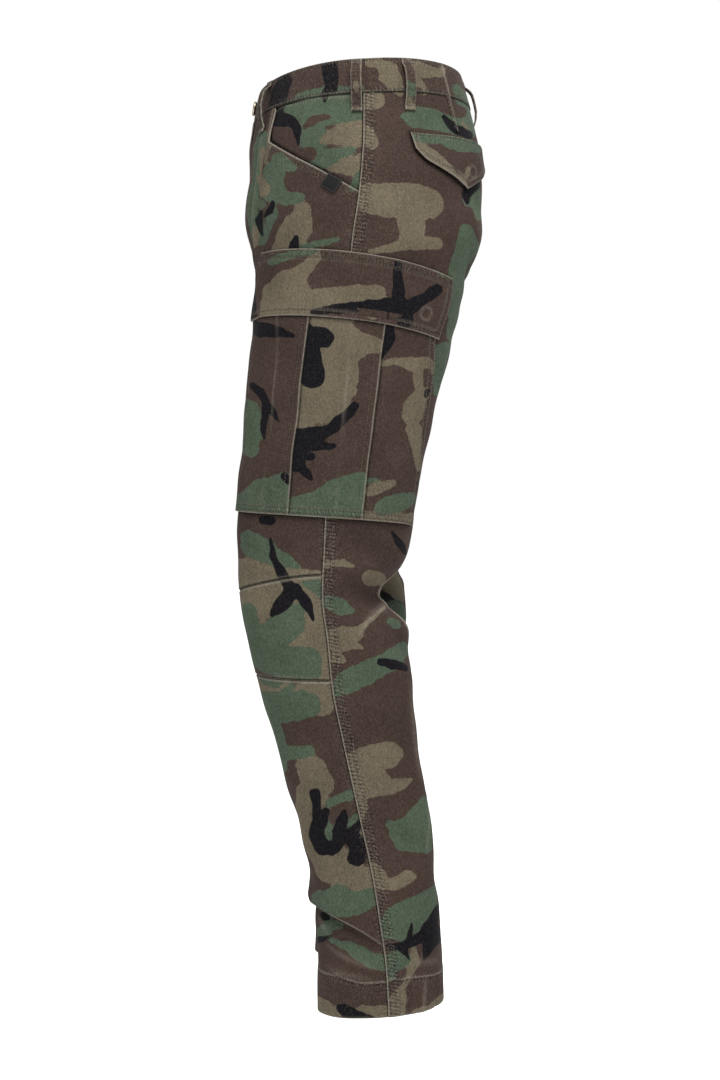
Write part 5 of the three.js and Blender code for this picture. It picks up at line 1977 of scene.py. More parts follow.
@dataclass
class CargoPocket:
    """The patch pocket on the outside of the leg, pressed into two overlapping pleats."""

    shop: Workshop
    leg: Leg
    pleats: tuple = (0.395, 0.716)
    pleat_stitch: float = 5.0
    pressed: tuple = (0.243, 0.58)
    edge_lines: tuple = (0, 0.3, 0.8, 1.5, 2.2, 3.0, 5, 7.4, 8.2, 9)

    PLEATS = Columns(
        "p relief",
        [(0, 0), (0.03, 0.3), (0.12, 1.1), (0.25, 2.1), (0.389, 3.3), (0.395, 3.4), (0.3975, 3.1)]
        + [(0.3995, 0.5), (0.409, 0.2), (0.51, 0.9), (0.61, 1.9), (0.71, 3.3), (0.716, 3.4)]
        + [(0.7185, 3.1), (0.7205, 0.5), (0.73, 0.2), (0.79, 0.5), (0.86, 0.8), (0.92, 0.6)]
        + [(0.97, 0.3), (1, 0)],
    )

    def build(self) -> bpy.types.Object:
        """The pocket's mesh, dressed, with its rows of stitches.

        Returns:
            The object.
        """
        form = self.shop.form
        width, height = CARGO.size()
        p, q = ruled(width, self.edge_lines), ruled(height, self.edge_lines)
        for fold in self.pleats:
            beside = np.array((-12, -6, -3, -1, 0, 0.6, 1.2, 1.8, 2.5, 3.5, 4.5, 6, 10, 16))
            p = merged(p, fold + beside * 1e-3, 0.002)
        p, q = np.meshgrid(p, q)
        arc, z = cargo_at(p, q)
        across, down = p * width, q * height
        from_edge = np.minimum(np.minimum(across, width - across), height - down)
        bulge = CARGO_BULGE * np.sqrt(np.sin(math.pi * p) * np.sin(math.pi * np.clip(q, 0.08, 0.97)))
        opened = (0.35 + 0.65 * smooth(q, 0, 0.3)) * (1 - 0.6 * smooth(q, 0.9, 1))
        relief = self.PLEATS.at("p", p) * opened
        from_hem = height - down
        relief += -0.5 * (bell(from_edge, 2.2, 0.7) + bell(from_edge, 8.2, 0.7))
        run = np.where(from_hem < 14, across, down) + 0.4 * from_edge
        # Painted shade in the stitch grooves, then a painted shadow below the flap.
        painted_shading = -0.55 * bell(from_edge, 2.2, 0.9) - 0.5 * bell(from_edge, 8.2, 0.9)
        low = np.linspace(0, 1, 40)
        painted_shading -= 1.3 * painted_contact_shadow(arc, z - 1.2, tuple(zip(*cargo_flap_at(low, 1 + 0 * low))), 3.6)
        for fold in self.pleats:
            off = (p - fold) * width
            relief -= 0.35 * bell(off, -self.pleat_stitch, 0.7)
            # Painted shade in each pleat's stitch groove and a painted shadow beside its folded edge.
            painted_shading -= 0.4 * bell(off, -self.pleat_stitch, 0.8) + 0.95 * bell(off, 2.2, 1.3)
        for line in self.pressed:
            relief += 0.6 * bell(across, line * width + 6 * q, 1.8) * smooth(q, 0.05, 0.2)
        relief += 0.7 * np.sin(down / 21 + 3 * p) * np.sin(across / 27 + 1) * smooth(from_edge, 4, 30)
        edge = rounded(np.minimum(from_edge, down + 1), 1.1)
        inner, _ = form.by_arc(self.leg, arc, z, LEG_GAP + bulge + edge * 0.6)
        outer, normals = form.by_arc(self.leg, arc, z, LEG_GAP + bulge + TWILL + relief - edge)
        start = int(np.abs(arc[0]).argmin())
        chart = Chart.over(outer, normals, start, self.leg)
        ink = self._print(chart, p)
        worn = 0.85 * edge_wear(from_edge)
        worn = np.maximum(worn, 0.3 * bell(from_edge, 9.6, 0.9))
        for fold in self.pleats:
            worn = np.maximum(worn, 0.8 * bell((p - fold - 0.001) * width, 0, 0.7) * smooth(q, 0.02, 0.1))
        for line in self.pressed:
            rubbed = 0.17 + 0.1 * np.sin(down / 17 + 2) + 0.1 * np.sin(down / 43)
            worn = np.maximum(worn, rubbed * bell(across, line * width + 6 * q, 1.5))
        seam = np.maximum(0.6 * bell(from_edge, 4.8, 4.5), 0.2 * bell(from_hem, 12, 9))
        name = f"cargo_pocket_{self.leg.value}"
        wall = Wall(name, outer, inner, normals, ink, worn, seam, painted_shading, run)
        for fold in self.pleats:
            column = int(np.abs((p[0] - fold) * width + self.pleat_stitch).argmin())
            self.shop.sew(f"stitching_{self.leg.value}", wall, 4, -8, column=column)
        self._sew(wall)
        return self.shop.dress(wall, name, (width + 6, height + 6), (f"front_{self.leg.value}",))

    def _print(self, chart: Chart, p: Grid) -> Grid:
        """Each stretch between the pleats shows another place of the print.

        Args:
            chart: the piece's places on the chart.
            p: share across the piece.

        Returns:
            The print's three depths.
        """
        front, back = self.pleats
        cover = self.shop.dyes.cover
        if self.leg is Leg.RIGHT:
            shift = 24 * (p > front + 0.002) + 24 * (p > back + 0.002)
            return self.shop.dyes.repeat(chart.u + shift, chart.v, True)
        inks = [cover(strokes, chart, self.leg) for strokes in POCKET_PRINTS]
        first = (p <= front + 0.002)[..., None]
        second = (p <= back + 0.002)[..., None]
        return np.where(first, inks[0], np.where(second, inks[1], inks[2]))

    def _sew(self, wall: Wall) -> None:
        """Two rows of stitches down the sides and along the bottom.

        Args:
            wall: the piece's wall.
        """
        region = f"stitching_{self.leg.value}"
        for line in (4, len(self.edge_lines) - 2):
            for column in (line, -line - 1):
                self.shop.sew(region, wall, 4, -line, column=column)
            self.shop.sew(region, wall, line, -line, row=-line - 1)


POCKET_PRINTS = (POCKET_FRONT_PRINT, POCKET_MIDDLE_PRINT, POCKET_BACK_PRINT)


def snap_mark(x: Grid, y: Grid) -> tuple:
    """The ring that a hidden press stud leaves in the cloth, and how it catches the light.

    Args:
        x: distance along from its middle.
        y: distance down from its middle.

    Returns:
        The relief and the wear.
    """
    radius = np.hypot(x, y)
    return -0.7 * bell(radius, 0, 5.2) + 0.5 * bell(radius, 7.2, 1.5), 0.35 * bell(radius, 7.0, 1.2)


@dataclass
class CargoFlap:
    """The two-ply flap over the cargo pocket."""

    shop: Workshop
    leg: Leg
    snap: tuple = (90.6, -282.3)
    edge_stitch: float = 6.6

    RISE = Columns("q out", [(0, 0), (0.07, 0.1), (0.35, 1.6), (0.7, 4.4), (0.9, 5.8), (1, 6.4)])

    def build(self) -> bpy.types.Object:
        """The flap's mesh, dressed, with its rows of stitches.

        Returns:
            The object.
        """
        form = self.shop.form
        width, height = CARGO_FLAP.size()
        lines = (0, 0.35, 0.9, 1.6, 2.3, 3.2, 4.8, 6.0, 6.6, 7.3, 8.6)
        p, q = np.meshgrid(ruled(width, lines), ruled(height, lines))
        arc, z = cargo_flap_at(p, q)
        across, down = p * width, q * height
        from_edge = np.minimum(np.minimum(across, width - across), height - down)
        tuck = 0.86 + 0.14 * smooth(np.minimum(p, 1 - p), 0, 0.1)
        base = LEG_GAP + self.RISE.at("q", q) * tuck
        relief = 0.35 * bell(from_edge, 3.4, 2.0) - 0.5 * bell(from_edge, self.edge_stitch, 0.7)
        relief -= 0.5 * (bell(down, 2.3, 0.7) + bell(down, 8.6, 0.7))
        sideways = np.minimum(across, width - across) < np.minimum(down, height - down)
        run = np.where(sideways, down, across) + 0.4 * from_edge
        # Painted shade in the stitch grooves.
        painted_shading = -0.55 * bell(from_edge, self.edge_stitch, 0.9)
        painted_shading -= 0.5 * (bell(down, 2.3, 0.9) + bell(down, 8.6, 0.9))
        relief += 0.7 * np.sin(across / 24 + 0.7) * np.sin(down / 17) * smooth(from_edge, 5, 25)
        dent, ring = snap_mark(arc - self.snap[0], z - self.snap[1])
        edge = rounded(np.minimum(from_edge, down), FLAP_THICK / 2)
        outer, normals = form.by_arc(self.leg, arc, z, base + FLAP_THICK + relief + dent - edge)
        inner, _ = form.by_arc(self.leg, arc, z, base + edge)
        start = int(np.abs(arc[0]).argmin())
        chart = Chart.over(outer, normals, start, self.leg)
        ink = self.shop.dyes.cover(FLAP_PRINT, chart, self.leg)
        worn = np.maximum(1.05 * edge_wear(np.minimum(from_edge, down)), ring)
        worn = np.maximum(worn, 0.3 * bell(from_edge, 7.8, 0.9))
        worn = np.maximum(worn, 0.3 * bell(down, 9.8, 0.9))
        seam = np.maximum(0.5 * bell(down, 5, 5), 0.35 * bell(from_edge, 6, 4))
        name = f"cargo_flap_{self.leg.value}"
        wall = Wall(name, outer, inner, normals, ink, worn, seam, painted_shading, run)
        region = f"stitching_{self.leg.value}"
        for row in (4, 10):
            self.shop.sew(region, wall, 3, -3, row=row)
        for column in (8, -9):
            self.shop.sew(region, wall, 10, -8, column=column)
        self.shop.sew(region, wall, 8, -8, row=-9)
        return self.shop.dress(wall, name, (width + 4, height + 4), (f"front_{self.leg.value}",))


@dataclass
class BackFlap:
    """The two-ply pointed flap over the inside back pocket."""

    shop: Workshop
    leg: Leg
    snap: tuple = (138.3, -118.6)
    edge_stitch: float = 6.4

    DEPTH = Columns(
        "p depth",
        [(0, 19), (0.04, 24), (0.12, 31), (0.25, 41), (0.38, 50.5), (0.5, 60), (0.62, 50.5)]
        + [(0.75, 41), (0.88, 31), (0.96, 24), (1, 19)],
    )

    def build(self) -> bpy.types.Object:
        """The flap's mesh, dressed, with its rows of stitches.

        Returns:
            The object.
        """
        form = self.shop.form
        width = BACK_FLAP_BACK - BACK_FLAP_FRONT
        p = ruled(width, (0, 0.35, 0.9, 1.6, 2.3, 3.2, 4.8, 6.4, 7.3, 8.4))
        p = merged(p, np.array((0.49, 0.497, 0.5, 0.503, 0.51)), 0.004)
        upper = (0, 0.006, 0.015, 0.03, 0.05, 0.1, 0.16)
        q = spaced(0, 1, 0.045, upper, (0, 0.008, 0.02, 0.035, 0.055, 0.08, 0.11, 0.15))
        p, q = np.meshgrid(p, q)
        depth = np.interp(p, self.DEPTH.data[:, 0], self.DEPTH.data[:, 1])
        arc = BACK_FLAP_FRONT + width * p + BACK_FLAP_SLANT * q * (1 - smooth(p, 0, 0.14))
        across = 1 - arc / form.girth(Part.BACK, BACK_FLAP_TOP)
        down = q * depth
        z = BACK_FLAP_TOP + waist_rise(Part.BACK, across) - down
        slope = np.gradient(depth[0], p[0] * width)[None, :]
        from_low = (depth - down) / np.sqrt(1 + slope**2)
        from_edge = np.minimum(np.minimum(p * width, (1 - p) * width), from_low)
        base = LAY_GAP + BACK_FLAP_STAND * q**1.5
        relief = 0.3 * bell(from_edge, 3.2, 2.0) - 0.42 * bell(from_edge, self.edge_stitch, 0.7)
        relief -= 0.4 * bell(down, 2.3, 0.7)
        run = arc + 0.4 * down
        # Painted shade in the stitch grooves.
        painted_shading = -0.5 * bell(down, 2.3, 0.9) - 0.5 * bell(from_edge, self.edge_stitch, 0.9)
        relief += 0.5 * np.sin(arc / 19) * smooth(from_edge, 4, 18)
        dent, ring = snap_mark(arc - self.snap[0], z - self.snap[1])
        edge = rounded(np.minimum(from_edge, down), FLAP_THICK / 2)
        outer, normals = form.by_arc(self.leg, arc, z, base + FLAP_THICK + relief + dent - edge)
        inner, _ = form.by_arc(self.leg, arc, z, base + edge)
        chart = Chart.over(outer, normals, 0, self.leg)
        ink = self.shop.dyes.cover(BACK_FLAP_PRINT, chart, self.leg)
        worn = np.maximum(1.15 * edge_wear(from_edge), ring)
        worn = np.maximum(worn, 0.4 * bell(from_edge, 7.4, 0.9))
        worn = np.maximum(worn, 0.4 * edge_wear(down))
        seam = np.maximum(0.6 * bell(down, 3, 4), 0.35 * bell(from_edge, 6, 4))
        name = f"back_flap_{self.leg.value}"
        wall = Wall(name, outer, inner, normals, ink, worn, seam, painted_shading, run)
        region = f"stitching_{self.leg.value}"
        self.shop.sew(region, wall, 3, -3, row=5)
        share = np.linspace(self.edge_stitch / width, 1 - self.edge_stitch / width, 160)
        low = np.interp(share, p[0], depth[0])
        slant = np.interp(share, p[0], np.sqrt(1 + slope[0] ** 2))
        arc = BACK_FLAP_FRONT + width * share
        down = np.maximum(low - self.edge_stitch * np.minimum(slant, 1.35), 6)
        z = BACK_FLAP_TOP + waist_rise(Part.BACK, 1 - arc / form.girth(Part.BACK, BACK_FLAP_TOP)) - down
        lift = LAY_GAP + BACK_FLAP_STAND * (down / low) ** 1.5 + FLAP_THICK - 0.3
        self.shop.sewing.run(region, *form.by_arc(self.leg, arc, z, lift))
        return self.shop.dress(wall, name, (width, 64), (f"back_{self.leg.value}",))


@dataclass
class BackDart:
    """The stitched-down fold that shapes the back under the waistband."""

    shop: Workshop
    leg: Leg
    top_arc: float = 108
    bottom_arc: float = 117
    bottom: float = -86
    width: float = 9
    rise: float = 1

    def build(self) -> bpy.types.Object:
        """The fold's mesh, dressed, with its row of stitches.

        Returns:
            The object.
        """
        form = self.shop.form
        lines = (0, 0.3, 0.7)
        aside = spaced(-self.width / 2, self.width / 2, 0.9, lines, lines)
        share = spaced(0, 1, 0.05, (0, 0.01), (0, 0.01))[:, None]
        arc = self.top_arc + (self.bottom_arc - self.top_arc) * share + aside[None, :]
        across = 1 - arc / form.girth(Part.BACK, -BAND_HEIGHT)
        z = FIRST_ROW + (self.bottom + 6 - FIRST_ROW) * share + waist_rise(Part.BACK, across)
        from_edge = (self.width / 2 - np.abs(aside))[None, :] + 0 * z
        fold = self.rise * smooth(aside, -4.2, -0.6) * (1 - smooth(aside, 0.2, 1.4))[None, :]
        crown = 0.45 + fold * 1.1 - rounded(from_edge, 0.4)
        base = LAY_GAP * 0.6
        outer, normals = form.by_arc(self.leg, arc, z, base + crown)
        inner, _ = form.by_arc(self.leg, arc, z, base + 0 * crown)
        chart = Chart.over(outer, normals, 0, self.leg)
        ink = self.shop.dyes.cover(BACK_PRINT, chart, self.leg)
        name = f"back_dart_{self.leg.value}"
        # Worn pale fold edge, and painted shade beside the fold.
        worn, painted_shading = 1.1 * bell(aside, 0.5, 0.9), -0.6 * bell(aside, 2.2, 1.1)
        wall = Wall(name, outer, inner, normals, ink, worn, np.array(0.5), painted_shading, z)
        self.shop.sew(f"stitching_{self.leg.value}", wall, 1, -1, column=len(aside) // 3)
        length = FIRST_ROW - self.bottom
        return self.shop.dress(wall, name, (self.width + 1, length), (f"back_{self.leg.value}",))


@dataclass
class FlyPlacket:
    """The fly's facing strip on the left front, with a curved lower end."""

    shop: Workshop
    stitch_inset: float = 4.0

    def build(self) -> bpy.types.Object:
        """The strip's mesh, dressed, with its curved rows of stitches.

        Returns:
            The object.
        """
        form = self.shop.form
        offset = spaced(-FLY_PAST, FLY_WIDTH, 2, (0, 0.3, 0.8), (0, 0.3, 0.8, 1.5, 3, 4, 5))
        reach = np.clip(offset / FLY_WIDTH, 0, 0.995)
        curve = FLY_CURVE * (1 - np.sqrt(1 - reach**2))
        share = spaced(0, 1, 0.017, (0, 0.004), (0, 0.004, 0.01))[:, None]
        top = FIRST_ROW + WAIST_RISE[Part.FRONT]
        z = top + (FLY_BOTTOM + curve - top)[None, :] * share
        from_low = (z - (FLY_BOTTOM + curve)) * 0.8
        from_edge = np.minimum(np.minimum(offset + FLY_PAST, FLY_WIDTH - offset)[None, :], from_low)
        edge = rounded(from_edge, FLY_THICK / 2)
        out = LAY_GAP + FLY_THICK - edge - 0.3 * bell(from_edge, self.stitch_inset, 0.7)
        grids = {"outer": [], "inner": [], "normals": []}
        for leg, side in ((Leg.RIGHT, offset < 0), (Leg.LEFT, offset >= 0)):
            across = np.abs(offset[side])[None, :] / form.girth(Part.FRONT, z[:, side])
            outer, normals = form.shell(leg, Part.FRONT, across, z[:, side], out[:, side])
            inner, _ = form.shell(leg, Part.FRONT, across, z[:, side], LAY_GAP + edge[:, side])
            for key, grid in zip(grids, (outer, inner, normals)):
                grids[key].append(grid)
        outer, inner, normals = (np.concatenate(grids[key], axis=1) for key in grids)
        u = 120 + outer[..., 0] / CHART_STEP
        ink = self.shop.dyes.repeat(u, CHART_MIDDLE[1] - (z - CHART_EYE[2]) / CHART_STEP, False)
        seam = 0.3 + 0.5 * bell(from_edge, 4, 4)
        wall = Wall("fly_placket", outer, inner, normals, ink, 0.9 * edge_wear(from_edge), seam, 0 * z, z)
        self.shop.sew("stitching_left", wall, 0, int(len(share) * 0.985), column=-6)
        self.shop.sew("stitching_left", wall, 3, -6, row=-4)
        flat = (FLY_WIDTH + FLY_PAST + 1, top - FLY_BOTTOM + 1)
        return self.shop.dress(wall, "fly_placket", flat, ("front_left",))


@dataclass
class PocketTab:
    """A plain woven tab, folded over and sewn on the edge of the left hip pocket."""

    shop: Workshop

    def build(self) -> bpy.types.Object:
        """The tab's mesh in its own cloth, with a row of stitches at its top and bottom.

        Returns:
            The object.
        """
        form = self.shop.form
        slope = math.atan2(SLASH_CORNER - SLASH_SIDE, -SLASH_CORNER_ARC)
        lines = (0, 0.3, 0.8)
        along = spaced(-TAB_WIDTH / 2, TAB_WIDTH / 2, 0.9, lines, lines)[None, :]
        down = spaced(0, TAB_DROP, 0.9, lines, lines)[:, None]
        arc = TAB_ARC + along * math.cos(slope) - down * math.sin(slope)
        z = slash_line(TAB_ARC) - along * math.sin(slope) - down * math.cos(slope)
        from_edge = np.minimum(TAB_WIDTH / 2 - np.abs(along), np.minimum(down, TAB_DROP - down))
        edge = rounded(from_edge, TAB_THICK / 2)
        bow = 0.35 * np.sin(math.pi * down / TAB_DROP) + 0.35
        outer, normals = form.by_arc(Leg.LEFT, arc, z, LAY_GAP + TAB_THICK - edge + bow)
        inner, _ = form.by_arc(Leg.LEFT, arc, z, LAY_GAP + edge)
        blank = np.zeros(arc.shape)
        # Painted highlight along the tab's edges, passed on in the wear mark.
        worn = bell(from_edge, 0, 0.8)
        wall = Wall("pocket_tab", outer, inner, normals, np.zeros(outer.shape), worn, blank, blank, blank)
        obj = wall.mesh()
        obj.data.materials.append(self.shop.finishes["tab"])
        obj.data.materials.append(self.shop.finishes["tab"])
        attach(obj, BODY)
        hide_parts("pocket_tab")
        for row in (4, -5):
            self.shop.sew("stitching_tab", wall, 2, -2, row=row)
        LOG.info("pocket_tab: %d faces", len(obj.data.polygons))
        return obj


@dataclass
class WaistButton:
    """The metal shank button: a dished disc with a rolled rim and a turned ring."""

    shop: Workshop
    sides: int = 48
    profile: tuple = (
        (0.001, 0.0),
        (6.9, 0.0),
        (7.9, 0.5),
        (8.5, 1.5),
        (8.45, 2.5),
        (7.9, 3.3),
        (7.2, 3.6),
        (6.5, 3.3),
        (6.1, 2.9),
        (5.2, 2.85),
        (4.7, 3.1),
        (4.2, 2.9),
        (2.0, 3.0),
        (0.001, 3.15),
    )

    def build(self) -> bpy.types.Object:
        """The button's mesh in its metal, square to the waistband.

        Returns:
            The object.
        """
        across = 15 / self.shop.form.girth(Part.FRONT, 0)
        z = np.array([-20.0])
        points, normals = self.shop.form.shell(Leg.LEFT, Part.FRONT, np.array([across]), z, BAND_PROUD + 0.5)
        axis = Vector(normals[0])
        turn = axis.to_track_quat("Z", "Y").to_matrix()
        angle = np.arange(self.sides) / self.sides * 2 * math.pi
        ring = np.stack([np.cos(angle), np.sin(angle), 0 * angle], axis=1)
        rows = [ring * r + np.array([0, 0, h]) for r, h in self.profile]
        local = np.concatenate(rows) @ np.array(turn).T + points[0]
        faces = []
        for k in range(len(self.profile) - 1):
            for i in range(self.sides):
                a, b = k * self.sides + i, k * self.sides + (i + 1) % self.sides
                faces.append((a, b, b + self.sides, a + self.sides))
        obj = solid_from("waist_button_metal", local * MM, np.array(faces), np.zeros(len(faces)))
        obj.data.materials.append(self.shop.finishes["metal"])
        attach(obj, BODY)
        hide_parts("waist_button")
        LOG.info("waist_button: %d faces", len(obj.data.polygons))
        return obj


class Value:
    """A number in a shader's tree. Arithmetic on it adds the Math nodes that work it out."""

    def __init__(self, tree: "Tree", socket: bpy.types.NodeSocket) -> None:
        """Wraps one output socket."""
        self.tree = tree
        self.socket = socket

    def _with(self, operation: str, *inputs: object, clamp: bool = False) -> "Value":
        """Adds one Math node over the inputs.

        Args:
            operation: the node's operation.
            inputs: the values it works on.

        Returns:
            The node's value.
        """
        settings = {"operation": operation, "use_clamp": clamp}
        node = self.tree.node("ShaderNodeMath", settings, dict(enumerate(inputs)))
        return Value(self.tree, node.outputs[0])

    def __add__(self, other: object) -> "Value":
        """Sum."""
        return self._with("ADD", self, other)

    __radd__ = __add__

    def __sub__(self, other: object) -> "Value":
        """Difference."""
        return self._with("SUBTRACT", self, other)

    def __rsub__(self, other: object) -> "Value":
        """Difference from a number."""
        return self._with("SUBTRACT", other, self)

    def __mul__(self, other: object) -> "Value":
        """Product."""
        return self._with("MULTIPLY", self, other)

    __rmul__ = __mul__

    def highest(self, other: object) -> "Value":
        """The larger of two."""
        return self._with("MAXIMUM", self, other)

    def lowest(self, other: object) -> "Value":
        """The smaller of two."""
        return self._with("MINIMUM", self, other)

    def sine(self) -> "Value":
        """Its sine, in radians."""
        return self._with("SINE", self)

    def clamped(self) -> "Value":
        """The value held between 0 and 1."""
        return self._with("ADD", self, 0.0, clamp=True)

    def clamped_to(self, low: float, high: float) -> "Value":
        """The value held between two numbers."""
        return self.lowest(high).highest(low)

    def ramp(self, low: float, high: float) -> "Value":
        """0 below low and 1 above high."""
        return ((self - low) * (1 / (high - low))).clamped()


class Tree:
    """Builds one material's node tree."""

    def __init__(self, name: str) -> None:
        """Starts a material with its surface shader joined to the output.

        Args:
            name: its name.
        """
        self.material = bpy.data.materials.new(name)
        self.material.use_nodes = True
        self.nodes = self.material.node_tree.nodes
        self.links = self.material.node_tree.links
        self.nodes.clear()
        self.surface = self.node("ShaderNodeBsdfPrincipled", {}, {})
        self.node("ShaderNodeOutputMaterial", {}, {"Surface": self.surface.outputs[0]})

    def node(self, kind: str, settings: dict, inputs: dict) -> bpy.types.Node:
        """Adds a node.

        Args:
            kind: its type.
            settings: its properties.
            inputs: for each socket, by name or number, a value or what to link to it.

        Returns:
            The node.
        """
        node = self.nodes.new(kind)
        for name, value in settings.items():
            setattr(node, name, value)
        for key, value in inputs.items():
            self.feed(node.inputs[key], value)
        return node

    def feed(self, socket: bpy.types.NodeSocket, value: object) -> None:
        """Sets a socket to a value or links it.

        Args:
            socket: the socket.
            value: the value, or the socket that gives it.
        """
        if isinstance(value, Value):
            value = value.socket
        if isinstance(value, bpy.types.NodeSocket):
            self.links.new(value, socket)
        else:
            socket.default_value = value

    def place(self, stretch: tuple = (1, 1, 1)) -> bpy.types.NodeSocket:
        """Place on the object, in metres, stretched along each axis.

        Args:
            stretch: the factor along each axis.

        Returns:
            The place.
        """
        where = self.node("ShaderNodeTexCoord", {}, {}).outputs["Object"]
        if stretch == (1, 1, 1):
            return where
        node = self.node("ShaderNodeVectorMath", {"operation": "MULTIPLY"}, {0: where, 1: stretch})
        return node.outputs[0]

    def noise(self, size: float, detail: float = 2.0, stretch: tuple = (1, 1, 1)) -> Value:
        """Noise about 0, between -0.5 and 0.5, with grains of a size in millimetres."""
        sockets = {"Vector": self.place(stretch), "Scale": 1 / (size * MM), "Detail": detail}
        return Value(self, self.node("ShaderNodeTexNoise", {}, sockets).outputs[0]) - 0.5

    def attribute(self, name: str) -> list:
        """The three parts of a vector that the mesh carries.

        Args:
            name: its name.

        Returns:
            The three values.
        """
        settings = {"attribute_name": name, "attribute_type": "GEOMETRY"}
        vector = self.node("ShaderNodeAttribute", settings, {}).outputs["Vector"]
        parts = self.node("ShaderNodeSeparateXYZ", {}, {0: vector})
        return [Value(self, parts.outputs[k]) for k in range(3)]

    def mix(self, low: object, high: object, share: object) -> bpy.types.NodeSocket:
        """A colour between two."""
        node = self.node("ShaderNodeMix", {"data_type": "RGBA"}, {0: share, 6: low, 7: high})
        return node.outputs[2]

    def shade(self, colour: object, factor: Value) -> bpy.types.NodeSocket:
        """A colour times a number.

        Args:
            colour: the colour.
            factor: the number.

        Returns:
            The new colour.
        """
        grey = self.node("ShaderNodeCombineXYZ", {}, {0: factor, 1: factor, 2: factor}).outputs[0]
        settings = {"data_type": "RGBA", "blend_type": "MULTIPLY"}
        return self.node("ShaderNodeMix", settings, {0: 1.0, 6: colour, 7: grey}).outputs[2]

    def bump(self, height: Value, depth: float, strength: float) -> bpy.types.NodeSocket:
        """A bumped normal, from a height of 0 to 1 and its depth in millimetres."""
        sockets = {"Height": height, "Distance": depth * MM, "Strength": strength}
        return self.node("ShaderNodeBump", {}, sockets).outputs[0]

    def set(self, **sockets: object) -> None:
        """Feeds the surface shader's sockets, whose names are written with _ for a space."""
        for name, value in sockets.items():
            self.feed(self.surface.inputs[name.replace("_", " ")], value)


def tone(red: float, green: float, blue: float) -> tuple:
    """A colour, as linear parts."""
    return (red, green, blue, 1.0)


@dataclass(frozen=True)
class CamoCloth:
    """Washed cotton twill with the four-tone print, worn pale along its edges, paler along its crests, and with
    painted light and shade.
    """

    name: str = "camo_twill"
    strength: float = 1.0
    brown: tuple = tone(0.0332, 0.0217, 0.0179)
    khaki: tuple = tone(0.0800, 0.0667, 0.0453)
    green: tuple = tone(0.0406, 0.0557, 0.0373)
    black: tuple = tone(0.0038, 0.0034, 0.0047)
    pale: tuple = tone(0.179, 0.16, 0.129)
    softness: float = 0.5
    jitter: float = 0.9
    closing: float = 1.7
    beat: float = 1.55

    def build(self) -> bpy.types.Material:
        """The cloth's material.

        Returns:
            The material.
        """
        tree = Tree(self.name)
        khaki, green, black = tree.attribute("camo")
        worn, seam, painted_shading = tree.attribute("marks")
        along = tree.attribute("runs")[0]
        khaki = khaki.highest(khaki.lowest(green.highest(black)) + self.closing)
        green = green.highest(green.lowest(black) + self.closing)
        grain = tree.noise(1.4, 2.0)
        cloud = tree.noise(5.5, 2.0)
        fade = tree.noise(48, 1.0)
        fleck = tree.noise(1.5, 1.0, (1, 1, 0.5))
        moved = cloud * self.jitter + grain * 0.5
        colour = self.brown
        for depth, dye in ((khaki, self.khaki), (green, self.green), (black, self.black)):
            colour = tree.mix(colour, dye, (depth + moved).ramp(-self.softness, self.softness))
        beat = (along * self.beat + cloud * 7 + fade * 9).sine() * seam
        mottle_and_shading = 1 + grain * 1.0 + cloud * 0.42 + fade * 0.45 + fleck * 0.8
        # Painted light and shade: the mesh's shading mark, and a painted light-and-dark rhythm along puckered seams.
        mottle_and_shading = mottle_and_shading * (1 + painted_shading * 0.8 + beat * 0.22).clamped_to(0.08, 2.0)
        colour = tree.shade(colour, mottle_and_shading)
        speckle = (seam * 0.3 + 0.04) * (grain * 2.6 + fleck * 1.6 + beat * 0.2 + 0.1).ramp(0.05, 0.75)
        paled = (worn * (0.74 + grain * 0.9 + cloud * 0.5) + speckle).clamped() * self.strength
        colour = tree.mix(colour, self.pale, paled)
        # Painted shade: dark specks in the hollows of puckered seams.
        pucker_shade = (seam * (cloud - grain - beat * 0.14)).ramp(0.04, 0.3) * 0.6
        colour = tree.mix(colour, self.black, pucker_shade)
        weave = grain * 0.4 + fleck * 0.5 + beat * 0.4 + 0.5
        tree.set(
            Base_Color=colour,
            Roughness=0.92,
            Normal=tree.bump(weave, 0.5, 0.75),
        )
        tree.set(**{"Specular IOR Level": 0.06})
        return tree.material


@dataclass(frozen=True)
class InsideCloth:
    """The twill's unprinted back, paler and duller, with the print just showing through."""

    name: str = "camo_twill_inside"
    cloth: tuple = tone(0.098, 0.086, 0.067)
    ghost: tuple = tone(0.064, 0.06, 0.049)

    def build(self) -> bpy.types.Material:
        """The inside's material.

        Returns:
            The material.
        """
        tree = Tree(self.name)
        _, green, black = tree.attribute("camo")
        grain = tree.noise(1.4, 2.0)
        through = (green + grain * 2).ramp(-1.5, 1.5) * 0.6 + (black + grain * 2).ramp(-1.5, 1.5) * 0.4
        colour = tree.mix(self.cloth, self.ghost, through.clamped())
        colour = tree.shade(colour, 1 + grain * 0.5 + tree.noise(30, 1.0) * 0.2)
        tree.set(Base_Color=colour, Roughness=0.94, Normal=tree.bump(grain + 0.5, 0.3, 0.4))
        tree.set(**{"Specular IOR Level": 0.15})
        return tree.material


@dataclass(frozen=True)
class Thread:
    """Sewing thread, dyed between khaki and brown and faded in the wash."""

    name: str = "sewing_thread"
    dye: tuple = tone(0.049, 0.0385, 0.03)
    faded: tuple = tone(0.113, 0.098, 0.075)

    def build(self) -> bpy.types.Material:
        """The thread's material.

        Returns:
            The material.
        """
        tree = Tree(self.name)
        shade = (tree.noise(22, 2.0) * 1.6 + tree.noise(3, 1.0) + 0.4).clamped()
        twist = tree.noise(0.35, 0.0)
        tree.set(Base_Color=tree.mix(self.dye, self.faded, shade), Roughness=0.75)
        tree.set(Normal=tree.bump(twist + 0.5, 0.12, 0.5))
        tree.set(**{"Specular IOR Level": 0.25})
        return tree.material


